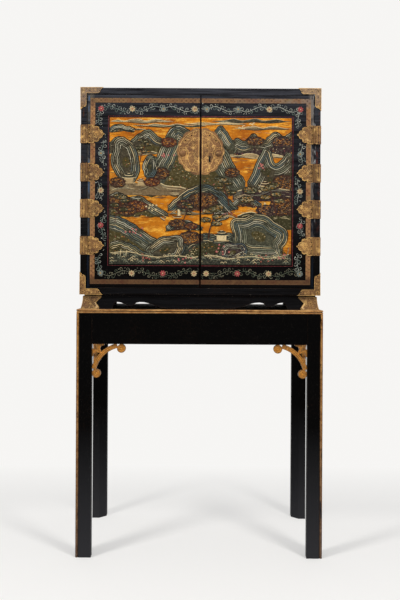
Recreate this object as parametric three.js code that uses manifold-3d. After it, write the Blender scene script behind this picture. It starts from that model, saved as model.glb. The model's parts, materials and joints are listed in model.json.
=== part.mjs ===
// Lacquer cabinet on a low shaped base, carried by a tall open stand.
// Lengths are millimetres. X runs to the right, Y to the back, Z up.
// The origin is on the floor, under the middle of the stand.

import * as THREE from 'three';
import { mergeVertices } from 'three/addons/utils/BufferGeometryUtils.js';
import Module from 'manifold-3d';

const wasm = await Module();
wasm.setup();

// Clearances
const GLUE_GAP = 0.2;
const FIT = 0.3;
const OVERRUN = 5;

// Stand
const STAND_W = 900;
const STAND_D = 520;
const STAND_H = 905;
const STAND_TOP_T = 14.6;
const LEG_T = 57;
const LEG_CHAMFER = 28;
const ARRIS_BEAD_D = 10;
const ARRIS_QUIRK = 3;
const RAIL_H = 112;
const RAIL_T = 22;
const RAIL_SETBACK = 1;
const TENON_L = 20;
const TENON_T = 8;
const TENON_SHOULDER = 14;

// Corner brackets of the stand
const BRACKET_T = 12;
const SCROLL_ARM_R = 115;
const SCROLL_ARM_W = 17;
const SCROLL_ARM_OFFSET = 3;
const SCROLL_BALL_R = 16;
const SCROLL_BALL_REACH = 107;

// Base of the cabinet
const BASE_H = 54.7;
const BASE_NECK_H = 6.7;
const BASE_NECK_INSET = 14;
const BASE_SHOULDER_INSET = 11.5;
const BASE_FOOT_INSET = 3.5;
const BASE_BOARD_T = 24;
const BASE_FOOT_L = 118;
const BASE_BACK_FOOT_L = 84;
const APRON_ARCH_L = 71;
const APRON_TAIL_L = 145;
const APRON_RISE = 26;

// Case of the cabinet
const CASE_SETBACK = 11.5;
const CASE_W = STAND_W - 2 * CASE_SETBACK;
const CASE_D = STAND_D - 2 * CASE_SETBACK;
const CASE_H = 755;
const CASE_SIDE_T = 22.5;
const CASE_TOP_T = 24.5;
const CASE_BOTTOM_T = 24;
const CASE_BACK_T = 12;
const CASE_BACK_INSET = 3;
const SHELF_T = 16;
const SHELF_SETBACK = 50;
const SHELF_HOUSING = 6;
const STOP_T = 6;
const STOP_H = 12;

// Doors
const DOOR_T = 22;
const DOOR_GAP = 1.2;
const MEETING_GAP = 3;
const DOOR_CHAMFER = 1.5;

// Brass mounts
const BRASS_T = 1.4;
const CORNER_ARM_L = 82;
const CORNER_ARM_W = 20;
const CORNER_TIP_L = 24;
const CORNER_UNDER_W = 10;
const FOOT_MOUNT_TOP_L = 76.8;
const FOOT_MOUNT_NOTCH_L = 57;
const FOOT_MOUNT_BOTTOM_L = 69;

// Hinges
const HINGE_H = 67;
const HINGE_LEAF_L = 64;
const HINGE_WRAP_L = 36;
const KNUCKLE_R = 4;
const KNUCKLE_GAP = 0.4;
const PIN_R = 1.8;

// Lock
const LOCK_PLATE_R = 88;
const LOCK_PLATE_LOBE = 5;
const LOCK_PLATE_RISE = 146;
const BOSS_R = 12;
const BOSS_H = 6;
const BOSS_REACH = 66;
const BOSS_DROP = 7;
const KEYHOLE_X = 33;
const KEYHOLE_DROP = 28;
const KEYHOLE_H = 24;
const KEYHOLE_HEAD_R = 4.6;
const KEYHOLE_TOE_R = 4.2;
const KEYHOLE_WAIST_W = 6.4;
const LOCK_CASE_W = 72;
const LOCK_CASE_H = 72;
const LOCK_CASE_D = 13;
const LOCK_CASE_WALL = 2;
const LOCK_CASE_DROP = 20;
const LOCK_BOLT_L = 40;
const LOCK_BOLT_H = 20;
const LOCK_BOLT_RISE = 28;

// Upright bolt of the left door
const ROD_R = 3;
const ROD_STANDOFF = 7;
const ROD_EDGE_X = 14;
const ROD_THROW = 12;
const ROD_HEADROOM = 1.5;
const ROD_TIP_L = 12;
const ROD_KNOB_R = 5;
const ROD_KNOB_H = 8;
const GUIDE_W = 18;
const GUIDE_H = 34;
const GUIDE_PLATE_T = 2;
const GUIDE_EYE_W = 13;
const GUIDE_EYE_H = 8;
const GUIDE_EYE_WALL = 2.5;

// Shares of a span
const SHELF_SHARES = [0.34, 0.67];
const HINGE_SHARES = [-0.283, -0.0905, 0.097, 0.296];
const LEAF_SHARES = [
  [0, 1], [0.3, 1], [0.39, 0.94], [0.43, 0.8], [0.55, 0.85], [0.66, 0.76], [0.7, 0.58],
  [0.68, 0.46], [0.8, 0.43], [0.87, 0.32], [0.88, 0.15], [1, 0],
];
const WRAP_SHARES = [
  [0, 1], [0.45, 1], [0.56, 0.9], [0.6, 0.72], [0.74, 0.72], [0.84, 0.56], [0.84, 0.3], [1, 0],
];
const TIP_SHARES = [[0.22, 0.12], [0.4, 0.4], [0.52, 0.78], [0.72, 0.98], [1, 1]];
const FLEURON_SHARES = [
  [0.44, 0], [1.25, 0], [1.2, 0.11], [0.9, 0.21], [0.79, 0.44], [0.9, 0.76], [1.04, 0.98],
  [0.93, 1.09], [0.71, 0.81], [0.54, 0.54], [0.49, 0.33], [0.54, 0.16],
];
const ARCH_SHARES = [
  [0, 0], [0.04, 0.5], [0.11, 0.86], [0.22, 1], [0.42, 0.93], [0.64, 0.7], [0.86, 0.44], [1, 0.36],
];
const TAIL_SHARES = [
  [0.05, 0.62], [0.11, 0.88], [0.2, 1], [0.31, 0.97], [0.43, 0.82], [0.56, 0.58], [0.71, 0.34],
  [0.86, 0.18], [1, 0.1],
];

// Facets of round stretches
const ROUND_SIDES = 14;
const BEAD_STEPS = 4;
const ARRIS_STEPS = 7;
const FLARE_STEPS = 4;
const ARM_STEPS = 14;
const PLATE_LOBES = 7;
const LOBE_STEPS = 5;

// Heights and planes that more than one piece uses
const BASE_Z = STAND_H;
const CASE_Z = BASE_Z + BASE_H;
const CASE_FRONT_Y = -CASE_D / 2;
const OPENING_HALF_W = CASE_W / 2 - CASE_SIDE_T;
const OPENING_LOW_Z = CASE_Z + CASE_BOTTOM_T;
const OPENING_HIGH_Z = CASE_Z + CASE_H - CASE_TOP_T;
const DOOR_LOW_Z = OPENING_LOW_Z + DOOR_GAP;
const DOOR_HIGH_Z = OPENING_HIGH_Z - DOOR_GAP;
const DOOR_MID_Z = (DOOR_LOW_Z + DOOR_HIGH_Z) / 2;
const DOOR_H = DOOR_HIGH_Z - DOOR_LOW_Z;
const DOOR_BACK_Y = CASE_FRONT_Y + DOOR_T;
const HINGE_X = OPENING_HALF_W - DOOR_GAP / 2;
const HINGE_Y = CASE_FRONT_Y - GLUE_GAP - KNUCKLE_R;
const MEETING_X = MEETING_GAP / 2;
const LOCK_PLATE_Z = DOOR_MID_Z + LOCK_PLATE_RISE;
const KEYHOLE_Z = LOCK_PLATE_Z - KEYHOLE_DROP;
const HALF_TURN = Math.PI;
const QUARTER_TURN = Math.PI / 2;

// Materials
const lacquer = new THREE.MeshStandardMaterial({ color: 0x0e0c0b, roughness: 0.32, metalness: 0 });
const doorLacquer = new THREE.MeshStandardMaterial({ color: 0x4a3014, roughness: 0.38, metalness: 0.1 });
const insideLacquer = new THREE.MeshStandardMaterial({ color: 0x4d110c, roughness: 0.4, metalness: 0 });
const gilt = new THREE.MeshStandardMaterial({ color: 0xa6792c, roughness: 0.45, metalness: 0.6 });
const brass = new THREE.MeshStandardMaterial({ color: 0x9a7440, roughness: 0.42, metalness: 0.9 });
const iron = new THREE.MeshStandardMaterial({ color: 0x4c4a47, roughness: 0.5, metalness: 0.9 });

// Booleans

function toSolid(geometry) {
  const bare = geometry.clone();
  bare.deleteAttribute('normal');
  bare.deleteAttribute('uv');
  const merged = mergeVertices(bare);
  return new wasm.Manifold(new wasm.Mesh({
    numProp: 3,
    vertProperties: new Float32Array(merged.attributes.position.array),
    triVerts: new Uint32Array(merged.index.array),
  }));
}

function toGeometry(solid) {
  const mesh = solid.getMesh();
  const geometry = new THREE.BufferGeometry();
  geometry.setAttribute('position', new THREE.BufferAttribute(new Float32Array(mesh.vertProperties), 3));
  geometry.setIndex(new THREE.BufferAttribute(new Uint32Array(mesh.triVerts), 1));
  geometry.computeVertexNormals();
  return geometry;
}

function join(geometries) {
  const solids = geometries.map(toSolid);
  return toGeometry(solids.reduce((total, solid) => total.add(solid)));
}

function cut(geometry, tools) {
  return toGeometry(tools.map(toSolid).reduce((left, tool) => left.subtract(tool), toSolid(geometry)));
}

function common(geometry, other) {
  return toGeometry(toSolid(geometry).intersect(toSolid(other)));
}

// Shapes

function block(low, high) {
  const geometry = new THREE.BoxGeometry(high[0] - low[0], high[1] - low[1], high[2] - low[2]);
  geometry.translate((low[0] + high[0]) / 2, (low[1] + high[1]) / 2, (low[2] + high[2]) / 2);
  return geometry;
}

function outline(points) {
  return new THREE.Shape(points.map(([u, v]) => new THREE.Vector2(u, v)));
}

// Prism along Z
function pillar(shape, height) {
  return new THREE.ExtrudeGeometry(shape, { depth: height, bevelEnabled: false });
}

// Prism along Y, from backY towards the front; the outline's u is X and its v is Z
function frontPlate(shape, thickness, backY) {
  const geometry = pillar(shape, thickness);
  geometry.rotateX(QUARTER_TURN);
  geometry.translate(0, backY, 0);
  return geometry;
}

// Prism along X, from lowX to the right; the outline's u is Y and its v is Z
function sidePlate(shape, thickness, lowX) {
  const geometry = pillar(shape, thickness);
  const turn = new THREE.Matrix4().makeBasis(
    new THREE.Vector3(0, 1, 0),
    new THREE.Vector3(0, 0, 1),
    new THREE.Vector3(1, 0, 0),
  );
  geometry.applyMatrix4(turn);
  geometry.translate(lowX, 0, 0);
  return geometry;
}

function upright(radius, lowZ, highZ, sides = ROUND_SIDES) {
  const geometry = new THREE.CylinderGeometry(radius, radius, highZ - lowZ, sides);
  geometry.rotateX(QUARTER_TURN);
  geometry.translate(0, 0, (lowZ + highZ) / 2);
  return geometry;
}

// Closed body through rectangles stacked along Z, each { z, low: [x, y], high: [x, y] }
function stack(levels) {
  const positions = [];
  const index = [];
  levels.forEach(({ z, low, high }) => {
    positions.push(low[0], low[1], z, high[0], low[1], z, high[0], high[1], z, low[0], high[1], z);
  });
  for (let level = 0; level + 1 < levels.length; level += 1) {
    for (let corner = 0; corner < 4; corner += 1) {
      const a = level * 4 + corner;
      const b = level * 4 + (corner + 1) % 4;
      index.push(a, b, b + 4, a, b + 4, a + 4);
    }
  }
  const top = (levels.length - 1) * 4;
  index.push(0, 2, 1, 0, 3, 2);
  index.push(top, top + 1, top + 2, top, top + 2, top + 3);
  const geometry = new THREE.BufferGeometry();
  geometry.setAttribute('position', new THREE.BufferAttribute(new Float32Array(positions), 3));
  geometry.setIndex(index);
  geometry.computeVertexNormals();
  return geometry;
}

function place(parent, name, geometry, material, position = [0, 0, 0], rotation = [0, 0, 0]) {
  const mesh = new THREE.Mesh(geometry, material);
  mesh.name = name;
  mesh.position.set(...position);
  mesh.rotation.set(...rotation);
  parent.add(mesh);
}

// Four corners, in quarter turns from the front left one
const CORNERS = [
  { name: 'front_left', sx: -1, sy: -1, turn: 0 },
  { name: 'front_right', sx: 1, sy: -1, turn: QUARTER_TURN },
  { name: 'back_right', sx: 1, sy: 1, turn: HALF_TURN },
  { name: 'back_left', sx: -1, sy: 1, turn: -QUARTER_TURN },
];

// Stand

const LEG_H = STAND_H - STAND_TOP_T - GLUE_GAP;
const RAIL_HIGH_Z = STAND_H - STAND_TOP_T - GLUE_GAP;
const RAIL_LOW_Z = RAIL_HIGH_Z - RAIL_H;

// Leg with its outer corner at the origin; the inner corner, at +X +Y, is chamfered
function legGeometry() {
  const beadR = ARRIS_BEAD_D / 2;
  const quirkEnd = ARRIS_BEAD_D + ARRIS_QUIRK;
  const points = [
    [quirkEnd, 0], [LEG_T, 0], [LEG_T, LEG_T - LEG_CHAMFER],
    [LEG_T - LEG_CHAMFER, LEG_T], [0, LEG_T], [0, quirkEnd],
  ];
  const start = THREE.MathUtils.degToRad(120);
  const sweep = THREE.MathUtils.degToRad(210);
  for (let step = 0; step <= ARRIS_STEPS; step += 1) {
    const angle = start + sweep * step / ARRIS_STEPS;
    points.push([beadR + beadR * Math.cos(angle), beadR + beadR * Math.sin(angle)]);
  }
  const leg = pillar(outline(points), LEG_H);
  const tenonMid = RAIL_SETBACK + RAIL_T / 2;
  const lowZ = RAIL_LOW_Z + TENON_SHOULDER - FIT;
  const highZ = RAIL_HIGH_Z - TENON_SHOULDER + FIT;
  const near = tenonMid - TENON_T / 2 - FIT;
  const far = tenonMid + TENON_T / 2 + FIT;
  const deep = LEG_T - TENON_L - FIT;
  const mortiseX = block([deep, near, lowZ], [LEG_T + OVERRUN, far, highZ]);
  const mortiseY = block([near, deep, lowZ], [far, LEG_T + OVERRUN, highZ]);
  return cut(leg, [mortiseX, mortiseY]);
}

// Rail along X, centred, with its outer face towards -Y at y = 0
function railGeometry(span) {
  const half = span / 2 - LEG_T - GLUE_GAP;
  const reach = half + TENON_L;
  const mid = RAIL_T / 2;
  const board = block([-half, 0, RAIL_LOW_Z], [half, RAIL_T, RAIL_HIGH_Z]);
  const tongue = block(
    [-reach, mid - TENON_T / 2, RAIL_LOW_Z + TENON_SHOULDER],
    [reach, mid + TENON_T / 2, RAIL_HIGH_Z - TENON_SHOULDER],
  );
  return join([board, tongue]);
}

// Board whose edge is worked into two beads
function standTopGeometry() {
  const beadR = STAND_TOP_T / 4;
  const levels = [];
  for (let bead = 0; bead < 2; bead += 1) {
    for (let step = bead; step <= BEAD_STEPS; step += 1) {
      const angle = HALF_TURN * step / BEAD_STEPS;
      const inset = beadR * (1 - Math.sin(angle));
      const z = beadR * (2 * bead + 1 - Math.cos(angle));
      const x = STAND_W / 2 - inset;
      const y = STAND_D / 2 - inset;
      levels.push({ z, low: [-x, -y], high: [x, y] });
    }
  }
  return stack(levels);
}

// C-scroll bracket in the corner under a rail: u runs along the rail, v down the leg
function bracketGeometry() {
  const centre = SCROLL_ARM_R + SCROLL_ARM_OFFSET;
  const outerR = SCROLL_ARM_R + SCROLL_ARM_W / 2;
  const innerR = SCROLL_ARM_R - SCROLL_ARM_W / 2;
  const start = Math.acos((centre - SCROLL_BALL_R / 2) / outerR) / 2;
  const sweep = QUARTER_TURN - 2 * start;
  const arc = (radius, step) => {
    const angle = start + sweep * step / ARM_STEPS;
    return [centre - radius * Math.cos(angle), radius * Math.sin(angle) - centre];
  };
  const outer = [];
  const inner = [];
  for (let step = 0; step <= ARM_STEPS; step += 1) {
    outer.push(arc(outerR, step));
    inner.unshift(arc(innerR, step));
  }
  const middle = centre - SCROLL_ARM_R * Math.SQRT1_2;
  const leaf = FLEURON_SHARES.map(([u, v]) => [middle * u, -middle * v]);
  const otherLeaf = FLEURON_SHARES.map(([u, v]) => [middle * v, -middle * u]);
  const half = BRACKET_T / 2;
  const ball = (u, v) => {
    const disc = upright(SCROLL_BALL_R, -half, half, 2 * ROUND_SIDES);
    disc.rotateX(QUARTER_TURN);
    disc.translate(u, 0, v);
    return disc;
  };
  const pieces = [
    frontPlate(outline([...outer, ...inner]), BRACKET_T, half),
    frontPlate(outline(leaf), BRACKET_T, half),
    frontPlate(outline(otherLeaf), BRACKET_T, half),
    ball(SCROLL_BALL_REACH, -SCROLL_BALL_R),
    ball(SCROLL_BALL_R, -SCROLL_BALL_REACH),
  ];
  const reach = SCROLL_BALL_REACH + SCROLL_BALL_R + OVERRUN;
  const room = block([0, -BRACKET_T, -reach], [reach, BRACKET_T, 0]);
  return common(join(pieces), room);
}

function makeStand() {
  const stand = new THREE.Group();
  const legShape = legGeometry();
  CORNERS.forEach(({ name, sx, sy, turn }) => {
    place(stand, `leg_${name}`, legShape, lacquer, [sx * STAND_W / 2, sy * STAND_D / 2, 0], [0, 0, turn]);
  });
  const longRail = railGeometry(STAND_W);
  const shortRail = railGeometry(STAND_D);
  const railX = STAND_W / 2 - RAIL_SETBACK;
  const railY = STAND_D / 2 - RAIL_SETBACK;
  place(stand, 'rail_front', longRail, lacquer, [0, -railY, 0]);
  place(stand, 'rail_back', longRail, lacquer, [0, railY, 0], [0, 0, HALF_TURN]);
  place(stand, 'rail_left', shortRail, lacquer, [-railX, 0, 0], [0, 0, -QUARTER_TURN]);
  place(stand, 'rail_right', shortRail, lacquer, [railX, 0, 0], [0, 0, QUARTER_TURN]);
  place(stand, 'stand_top', standTopGeometry(), gilt, [0, 0, STAND_H - STAND_TOP_T]);

  const bracket = bracketGeometry();
  const bracketZ = RAIL_LOW_Z - FIT;
  const seatX = STAND_W / 2 - LEG_T - FIT;
  const seatY = STAND_D / 2 - LEG_T - FIT;
  const midX = STAND_W / 2 - RAIL_SETBACK - RAIL_T / 2;
  const midY = STAND_D / 2 - RAIL_SETBACK - RAIL_T / 2;
  place(stand, 'bracket_front_left', bracket, gilt, [-seatX, -midY, bracketZ]);
  place(stand, 'bracket_front_right', bracket, gilt, [seatX, -midY, bracketZ], [0, 0, HALF_TURN]);
  [-1, 1].forEach((side) => {
    const word = side < 0 ? 'left' : 'right';
    const x = side * midX;
    place(stand, `bracket_${word}_front`, bracket, gilt, [x, -seatY, bracketZ], [0, 0, QUARTER_TURN]);
    place(stand, `bracket_${word}_back`, bracket, gilt, [x, seatY, bracketZ], [0, 0, -QUARTER_TURN]);
  });
  return stand;
}

// Base

const BASE_SHOULDER_Z = BASE_H - BASE_NECK_H;

// How far the base's outer face lies inside the case's outline, at a share of the shoulder height
function baseInset(share) {
  return BASE_SHOULDER_INSET - (BASE_SHOULDER_INSET - BASE_FOOT_INSET) * (1 - share) ** 2;
}

function baseRing() {
  const levels = [];
  const level = (z, inset) => {
    const x = CASE_W / 2 - inset;
    const y = CASE_D / 2 - inset;
    levels.push({ z, low: [-x, -y], high: [x, y] });
  };
  for (let step = 0; step <= FLARE_STEPS; step += 1) {
    const share = step / FLARE_STEPS;
    level(GLUE_GAP + (BASE_SHOULDER_Z - GLUE_GAP) * share, baseInset(share));
  }
  level(BASE_SHOULDER_Z, BASE_NECK_INSET);
  level(BASE_H - GLUE_GAP, BASE_NECK_INSET);
  const innerX = CASE_W / 2 - BASE_BOARD_T - BASE_FOOT_INSET;
  const innerY = CASE_D / 2 - BASE_BOARD_T - BASE_FOOT_INSET;
  const well = block([-innerX, -innerY, -OVERRUN], [innerX, innerY, BASE_H + OVERRUN]);
  return cut(stack(levels), [well]);
}

// Space under an apron, from the middle out to the foot, mirrored to both sides
function apronVoid(halfSpan, footL, profile) {
  const footEnd = halfSpan - footL;
  const right = [[footEnd, -OVERRUN], ...profile(footEnd)];
  const left = right.map(([u, v]) => [-u, v]).reverse();
  return outline([...right, ...left]);
}

function archAndTail(footEnd) {
  const arch = ARCH_SHARES.map(([u, v]) => [footEnd - u * APRON_ARCH_L, v * APRON_RISE]);
  const tailEnd = footEnd - APRON_ARCH_L;
  const tail = TAIL_SHARES.map(([u, v]) => [tailEnd - u * APRON_TAIL_L, v * APRON_RISE]);
  return [...arch, ...tail];
}

function archOnly(footEnd) {
  return ARCH_SHARES.map(([u, v]) => [footEnd - u * Math.min(APRON_ARCH_L, footEnd), v * APRON_RISE]);
}

function plainGap(footEnd) {
  return [[footEnd, APRON_RISE]];
}

// Mitred part of the ring that faces -Y, for a ring of the given width and depth
function mitreRoom(width, depth) {
  const out = OVERRUN;
  const inward = BASE_BOARD_T + BASE_NECK_INSET;
  const x = width / 2 - GLUE_GAP;
  const y = depth / 2;
  return pillar(outline([[-x - out, -y - out], [x + out, -y - out], [x - inward, inward - y],
    [inward - x, inward - y]]), BASE_H);
}

function makeBase() {
  const base = new THREE.Group();
  base.position.z = BASE_Z;
  const ring = baseRing();
  const sides = [
    { name: 'front', width: CASE_W, depth: CASE_D, turn: 0, foot: BASE_FOOT_L, profile: archAndTail },
    { name: 'right', width: CASE_D, depth: CASE_W, turn: QUARTER_TURN, foot: BASE_FOOT_L, profile: archOnly },
    { name: 'back', width: CASE_W, depth: CASE_D, turn: HALF_TURN, foot: BASE_BACK_FOOT_L, profile: plainGap },
    { name: 'left', width: CASE_D, depth: CASE_W, turn: -QUARTER_TURN, foot: BASE_FOOT_L, profile: archOnly },
  ];
  sides.forEach(({ name, width, depth, turn, foot, profile }) => {
    const room = mitreRoom(width, depth);
    const gap = frontPlate(apronVoid(width / 2, foot, profile), BASE_BOARD_T * 3, -depth / 2 + BASE_BOARD_T * 2);
    room.rotateZ(turn);
    gap.rotateZ(turn);
    place(base, `base_${name}`, cut(common(ring, room), [gap]), lacquer);
  });
  return base;
}

// Brass shell round one foot, with the case's corner at the origin and arms along +X and +Y
function footMountGeometry() {
  const reach = FOOT_MOUNT_TOP_L + OVERRUN;
  const shellLevels = (growth, low, high, far) => {
    const levels = [];
    for (let step = 0; step <= FLARE_STEPS; step += 1) {
      const share = step / FLARE_STEPS;
      const near = baseInset(share) - growth;
      levels.push({ z: low + (high - low) * share, low: [near, near], high: [far, far] });
    }
    return levels;
  };
  const outer = stack(shellLevels(FIT + BRASS_T, GLUE_GAP, BASE_SHOULDER_Z, reach));
  const innerLevels = shellLevels(FIT, GLUE_GAP, BASE_SHOULDER_Z, reach + OVERRUN);
  const first = innerLevels[0];
  const last = innerLevels[FLARE_STEPS];
  innerLevels.unshift({ ...first, z: first.z - OVERRUN });
  innerLevels.push({ ...last, z: last.z + OVERRUN });
  const shell = cut(outer, [stack(innerLevels)]);
  const notchZ = BASE_SHOULDER_Z / 2;
  const arm = outline([
    [-OVERRUN, -OVERRUN], [FOOT_MOUNT_BOTTOM_L, -OVERRUN], [FOOT_MOUNT_BOTTOM_L, notchZ / 3],
    [FOOT_MOUNT_NOTCH_L, notchZ], [FOOT_MOUNT_TOP_L, BASE_SHOULDER_Z - notchZ / 6],
    [FOOT_MOUNT_TOP_L, BASE_H], [-OVERRUN, BASE_H],
  ]);
  const armDepth = BASE_SHOULDER_INSET + OVERRUN;
  const room = join([
    frontPlate(arm, 2 * armDepth, armDepth),
    sidePlate(arm, 2 * armDepth, -armDepth),
  ]);
  return common(shell, room);
}

// Case

const SHELF_LOW_Z = SHELF_SHARES.map(
  (share) => OPENING_LOW_Z + share * (OPENING_HIGH_Z - OPENING_LOW_Z) - SHELF_T / 2,
);

function makeCase() {
  const shell = new THREE.Group();
  const halfW = CASE_W / 2;
  const halfD = CASE_D / 2;
  const topLowZ = OPENING_HIGH_Z;
  const backY = halfD - CASE_BACK_INSET;
  const shelfY = CASE_FRONT_Y + SHELF_SETBACK;
  const shelfEndX = OPENING_HALF_W + SHELF_HOUSING;

  place(shell, 'case_bottom', block([-halfW, -halfD, CASE_Z], [halfW, halfD, OPENING_LOW_Z]), lacquer);
  place(shell, 'case_top', block([-halfW, -halfD, topLowZ], [halfW, halfD, CASE_Z + CASE_H]), lacquer);

  [-1, 1].forEach((side) => {
    const word = side < 0 ? 'left' : 'right';
    const x = [side * OPENING_HALF_W, side * halfW].sort((a, b) => a - b);
    const board = block([x[0], -halfD, OPENING_LOW_Z + GLUE_GAP], [x[1], halfD, topLowZ - GLUE_GAP]);
    const housings = SHELF_LOW_Z.map((z) => {
      const gx = [side * (OPENING_HALF_W - OVERRUN), side * (shelfEndX + FIT)].sort((a, b) => a - b);
      return block([gx[0], shelfY - FIT, z - FIT], [gx[1], halfD + OVERRUN, z + SHELF_T + FIT]);
    });
    place(shell, `case_side_${word}`, cut(board, housings), lacquer);
  });

  const backHalfW = OPENING_HALF_W - FIT;
  const backLow = [-backHalfW, backY - CASE_BACK_T, OPENING_LOW_Z + GLUE_GAP];
  place(shell, 'case_back', block(backLow, [backHalfW, backY, topLowZ - GLUE_GAP]), lacquer);

  const shelfBackY = backY - CASE_BACK_T - FIT;
  SHELF_LOW_Z.forEach((z, level) => {
    const name = level === 0 ? 'shelf_lower' : 'shelf_upper';
    place(shell, name, block([-shelfEndX, shelfY, z], [shelfEndX, shelfBackY, z + SHELF_T]), insideLacquer);
  });

  const stopX = OPENING_HALF_W - FIT;
  const stopY = DOOR_BACK_Y + FIT;
  const stopBackY = stopY + STOP_T;
  const highStop = block([-stopX, stopY, topLowZ - STOP_H], [stopX, stopBackY, topLowZ - GLUE_GAP]);
  const lowStop = block([-stopX, stopY, OPENING_LOW_Z + GLUE_GAP], [stopX, stopBackY, OPENING_LOW_Z + STOP_H]);
  place(shell, 'door_stop_top', highStop, insideLacquer);
  place(shell, 'door_stop_bottom', lowStop, insideLacquer);
  return shell;
}

// Three brass plates round a corner at the origin, with arms along +X, +Y and +Z
function cornerMountGeometry(underW) {
  const out = GLUE_GAP + BRASS_T;
  const face = (width) => {
    const tip = TIP_SHARES.map(([u, v]) => [CORNER_ARM_L - u * CORNER_TIP_L, v * width]);
    const otherTip = tip.map(([u, v]) => [v, u]).reverse();
    return outline([[-out, -out], [CORNER_ARM_L, -out], ...tip, [width, width], ...otherTip, [-out, CORNER_ARM_L]]);
  };
  const front = frontPlate(face(CORNER_ARM_W), BRASS_T, -GLUE_GAP);
  const side = sidePlate(face(CORNER_ARM_W), BRASS_T, -out);
  const under = pillar(face(underW), BRASS_T);
  under.translate(0, 0, -out);
  return join([front, side, under]);
}

function makeMounts() {
  const mounts = new THREE.Group();
  const foot = footMountGeometry();
  CORNERS.forEach(({ name, sx, sy, turn }) => {
    place(mounts, `foot_mount_${name}`, foot, brass, [sx * CASE_W / 2, sy * CASE_D / 2, BASE_Z], [0, 0, turn]);
  });
  const lower = cornerMountGeometry(CORNER_UNDER_W);
  const upper = cornerMountGeometry(CORNER_ARM_W);
  const x = CASE_W / 2;
  const topZ = CASE_Z + CASE_H;
  place(mounts, 'corner_mount_bottom_left', lower, brass, [-x, CASE_FRONT_Y, CASE_Z]);
  place(mounts, 'corner_mount_bottom_right', lower, brass, [x, CASE_FRONT_Y, CASE_Z], [0, 0, QUARTER_TURN]);
  place(mounts, 'corner_mount_top_left', upper, brass, [-x, CASE_FRONT_Y, topZ], [HALF_TURN, 0, -QUARTER_TURN]);
  place(mounts, 'corner_mount_top_right', upper, brass, [x, CASE_FRONT_Y, topZ], [HALF_TURN, 0, HALF_TURN]);
  return mounts;
}

// Hinges, with the pin's axis at the origin and the door towards +X

const LEAF_BACK_Y = KNUCKLE_R;
const MIDDLE_KNUCKLE = HINGE_H / 6;

function lobedLeaf(shares, length) {
  const upper = shares.map(([u, v]) => [u * length, v * HINGE_H / 2]);
  const lower = upper.slice(0, -1).map(([u, v]) => [u, -v]).reverse();
  return outline([...upper, ...lower]);
}

function doorLeafGeometry() {
  const plate = frontPlate(lobedLeaf(LEAF_SHARES, HINGE_LEAF_L), BRASS_T, LEAF_BACK_Y);
  const clearX = KNUCKLE_R + KNUCKLE_GAP;
  const notches = [-1, 1].map((side) => {
    const z = [side * (MIDDLE_KNUCKLE - KNUCKLE_GAP), side * HINGE_H].sort((a, b) => a - b);
    return block([-OVERRUN, -OVERRUN, z[0]], [clearX, LEAF_BACK_Y + OVERRUN, z[1]]);
  });
  const half = MIDDLE_KNUCKLE - KNUCKLE_GAP;
  const bore = upright(PIN_R + FIT, -HINGE_H, HINGE_H);
  return cut(join([cut(plate, notches), upright(KNUCKLE_R, -half, half)]), [bore]);
}

function frameLeafGeometry() {
  const edgeX = -(DOOR_GAP / 2 + CASE_SIDE_T + GLUE_GAP);
  const half = HINGE_H / 2;
  const front = block([edgeX - BRASS_T, LEAF_BACK_Y - BRASS_T, -half], [0, LEAF_BACK_Y, half]);
  const notch = block(
    [-KNUCKLE_R - KNUCKLE_GAP, -OVERRUN, -MIDDLE_KNUCKLE],
    [OVERRUN, LEAF_BACK_Y + OVERRUN, MIDDLE_KNUCKLE],
  );
  const wrap = sidePlate(lobedLeaf(WRAP_SHARES, HINGE_WRAP_L), BRASS_T, edgeX - BRASS_T);
  wrap.translate(0, LEAF_BACK_Y - BRASS_T, 0);
  return join([
    cut(front, [notch]),
    wrap,
    upright(KNUCKLE_R, -half, -MIDDLE_KNUCKLE),
    upright(KNUCKLE_R, MIDDLE_KNUCKLE, half),
    upright(PIN_R, -half, half),
  ]);
}

// Doors

function doorSlab(lowX, highX) {
  const ring = (y, inset) => ({
    z: y,
    low: [lowX + inset, DOOR_LOW_Z + inset],
    high: [highX - inset, DOOR_HIGH_Z - inset],
  });
  const slab = stack([ring(0, DOOR_CHAMFER), ring(DOOR_CHAMFER, 0), ring(DOOR_T, 0)]);
  // The stack runs along Z, so its X, Y and Z become X, Z and -Y turned to face the front
  slab.applyMatrix4(new THREE.Matrix4().makeBasis(
    new THREE.Vector3(-1, 0, 0),
    new THREE.Vector3(0, 0, 1),
    new THREE.Vector3(0, 1, 0),
  ));
  slab.translate(0, CASE_FRONT_Y, 0);
  return slab;
}

function keyholeOutline() {
  const headV = KEYHOLE_H / 2 - KEYHOLE_HEAD_R;
  const toeV = KEYHOLE_TOE_R - KEYHOLE_H / 2;
  const headHalf = Math.asin(KEYHOLE_WAIST_W / 2 / KEYHOLE_HEAD_R);
  const toeHalf = Math.asin(KEYHOLE_WAIST_W / 2 / KEYHOLE_TOE_R);
  const points = [];
  const arc = (centreV, radius, start, sweep) => {
    for (let step = 0; step <= ROUND_SIDES; step += 1) {
      const angle = start + sweep * step / ROUND_SIDES;
      points.push([KEYHOLE_X + radius * Math.cos(angle), KEYHOLE_Z + centreV + radius * Math.sin(angle)]);
    }
  };
  arc(headV, KEYHOLE_HEAD_R, headHalf - QUARTER_TURN, 2 * (HALF_TURN - headHalf));
  arc(toeV, KEYHOLE_TOE_R, toeHalf + QUARTER_TURN, 2 * (HALF_TURN - toeHalf));
  return outline(points);
}

const keyholeTool = frontPlate(keyholeOutline(), CASE_D / 2, CASE_FRONT_Y + CASE_D / 4);

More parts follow.
